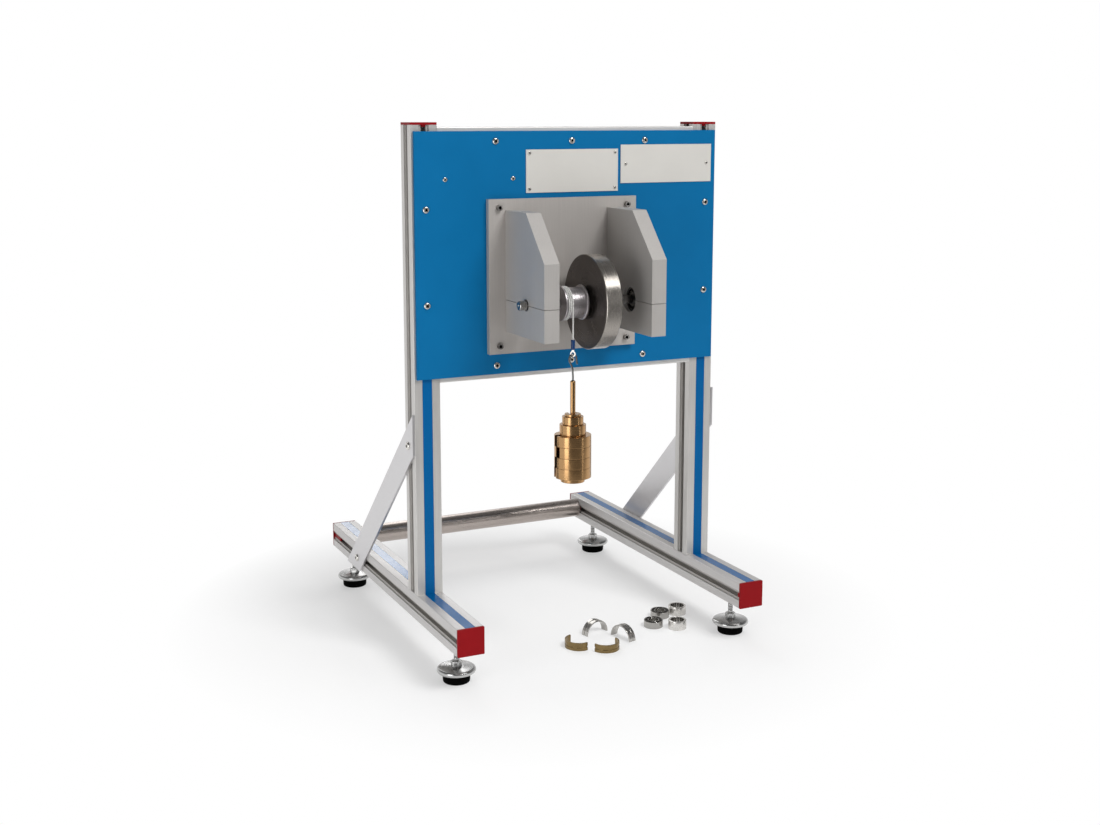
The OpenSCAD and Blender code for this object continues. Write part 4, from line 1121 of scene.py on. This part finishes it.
def hook_points():
    """The hook's line from the rod, up and round its bend, to the tip of its tail."""
    plane = [(0, -HOOK_LEAN - HOOK_STEM), (0, -HOOK_LEAN - HOOK_STEM / 2), (-STEM_SWAY, -HOOK_LEAN)]
    for i in range(1, LEAN_STEPS):
        a = math.pi / 2 * i / (LEAN_STEPS - 1)
        plane.append((-HOOK_R * (1 - math.cos(a)), -HOOK_LEAN * (1 - i / LEAN_STEPS)))
    for i in range(BOW_STEPS + 1):
        a = math.pi * (1 - i / BOW_STEPS)
        plane.append((HOOK_R * math.cos(a), HOOK_R * math.sin(a)))
    plane += [(HOOK_R + TAIL_FLARE[0], -HOOK_TAIL / 2), (HOOK_R + TAIL_FLARE[1], -HOOK_TAIL)]
    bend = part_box("hook")[1].z - HOOK_R - HOOK_WIRE / 2
    line = [Vector((DROP.x + a * math.cos(HOOK_TURN), DROP.y + a * math.sin(HOOK_TURN), bend + z))
            for a, z in plane]
    fine = []
    for i in range(len(line) - 1):
        p0, p1, p2, p3 = line[max(i - 1, 0)], line[i], line[i + 1], line[min(i + 2, len(line) - 1)]
        for step in range(FINE_STEPS):
            t = step / FINE_STEPS
            fine.append(0.5 * (2 * p1 + (p2 - p0) * t + (2 * p0 - 5 * p1 + 4 * p2 - p3) * t ** 2
                               + (3 * p1 - p0 - 3 * p2 + p3) * t ** 3))
    return fine + [line[-1]]


hook_side = Vector((math.cos(HOOK_TURN), math.sin(HOOK_TURN), 0))
hook = tube_along("hook_dressed", hook_points(), HOOK_WIRE, HOOK_SIDES, hook_side, "hook_wire", HOOK_TIP)
settle(hook, "hook")


# Floor, background and light
FLOOR_SIZE = 30
FLOOR_TONE = (0.96, 0.96, 0.96)
SHADOW_SHARE = 0.6
SHADOW_FADE = (0.40, 0.66)
ROOM_LIGHT = 0.35

# Where metal sees white get darker: from and to, then the strength at each
FLOOR_AHEAD = (-1.5, -0.6, 0.14, 1.0)
ROOM_AHEAD = (-0.5, 0.2, 0.28, 1.0)
ROOM_OVERHEAD = (0.10, 0.55, 1.0, 0.18)


def shown_white(tree, dim):
    """The strength of white, dimmed where metal sees it, and the rays that see it."""
    ray = tree.add("ShaderNodeLightPath").outputs
    glow = tree.add("ShaderNodeMix", {0: ray["Is Glossy Ray"], 2: 1.0, 3: dim}, data_type="FLOAT")
    seen = ray["Is Camera Ray"]
    for flag in ("Is Glossy Ray", "Is Transmission Ray"):
        seen = tree.maths("ADD", seen, ray[flag], use_clamp=True)
    return glow.outputs[0], seen


def make_floor():
    """A pale floor that keeps a soft shadow round the stand and is white further out."""
    bpy.ops.mesh.primitive_plane_add(size=FLOOR_SIZE, location=(0, 0, 0))
    floor = bpy.context.object
    floor.name = "floor"
    finish = Finish("pale_floor", FLOOR_TONE, 0.0, 0.7, Specular_IOR_Level=0.0)
    away = finish.vector("LENGTH", finish.place((1, 1, 0)))
    front = finish.add("ShaderNodeSeparateXYZ", {0: finish.coords["Object"]}).outputs["Y"]
    glow, seen = shown_white(finish, finish.spread(front, *FLOOR_AHEAD))
    white = finish.add("ShaderNodeEmission", {"Color": WHITE, "Strength": glow})
    fade = finish.spread(away, *SHADOW_FADE, 1 - SHADOW_SHARE, 1.0)
    blend = finish.add("ShaderNodeMixShader", {
        0: finish.maths("MULTIPLY", fade, seen), 1: finish.shader.outputs[0], 2: white.outputs[0]})
    finish.show(blend, "Material Output")
    floor.data.materials.append(finish.mat)


def make_room():
    """A white room that lights the stand softly; metal sees it darker overhead and on the viewer's side."""
    world = bpy.data.worlds.new("studio")
    bpy.context.scene.world = world
    world.use_nodes = True
    tree = Tree(world.node_tree)
    way = tree.add("ShaderNodeTexCoord").outputs["Generated"]
    parts = tree.add("ShaderNodeSeparateXYZ", {0: way}).outputs
    overhead = tree.spread(parts["Z"], *ROOM_OVERHEAD)
    ahead = tree.spread(parts["Y"], *ROOM_AHEAD)
    glow, seen = shown_white(tree, tree.maths("MULTIPLY", overhead, ahead))
    white = tree.add("ShaderNodeBackground", {"Color": WHITE, "Strength": glow})
    light = world.node_tree.nodes["Background"]
    light.inputs["Color"].default_value = WHITE
    light.inputs["Strength"].default_value = ROOM_LIGHT
    blend = tree.add("ShaderNodeMixShader", {0: seen, 1: light.outputs[0], 2: white.outputs[0]})
    tree.show(blend, "World Output")


def lamp(name, place, aim, size, power):
    """A rectangular soft lamp of (width, height)."""
    light = bpy.data.lights.new(name, "AREA")
    light.shape = "RECTANGLE"
    light.size, light.size_y = size
    light.energy = power
    obj = bpy.data.objects.new(name, light)
    bpy.context.scene.collection.objects.link(obj)
    obj.visible_camera = False
    obj.location = place
    obj.rotation_euler = (Vector(aim) - Vector(place)).to_track_quat("-Z", "Y").to_euler()


make_camera()
make_floor()
make_room()
lamp("key", place=(0.8, -2.3, 3.0), aim=(0, -0.1, 0.45), size=(1.2, 1.2), power=68)
lamp("left_strip", place=(-1.24, -0.86, 0.45), aim=(0, -0.2, 0.45), size=(0.6, 0.9), power=4.8)
lamp("right_strip", place=(0.74, -1.30, 0.5), aim=(0, -0.2, 0.5), size=(0.10, 1.0), power=0.6)
lamp("back", place=(0.3, 2.4, 2.2), aim=(0, 0, 0.4), size=(1.8, 1.8), power=22)
lamp("low_back", place=(0.46, 2.4, 0.84), aim=(-0.26, 0.15, 0.11), size=(0.40, 0.26), power=1.2)
bpy.context.scene.view_settings.view_transform = "Standard"
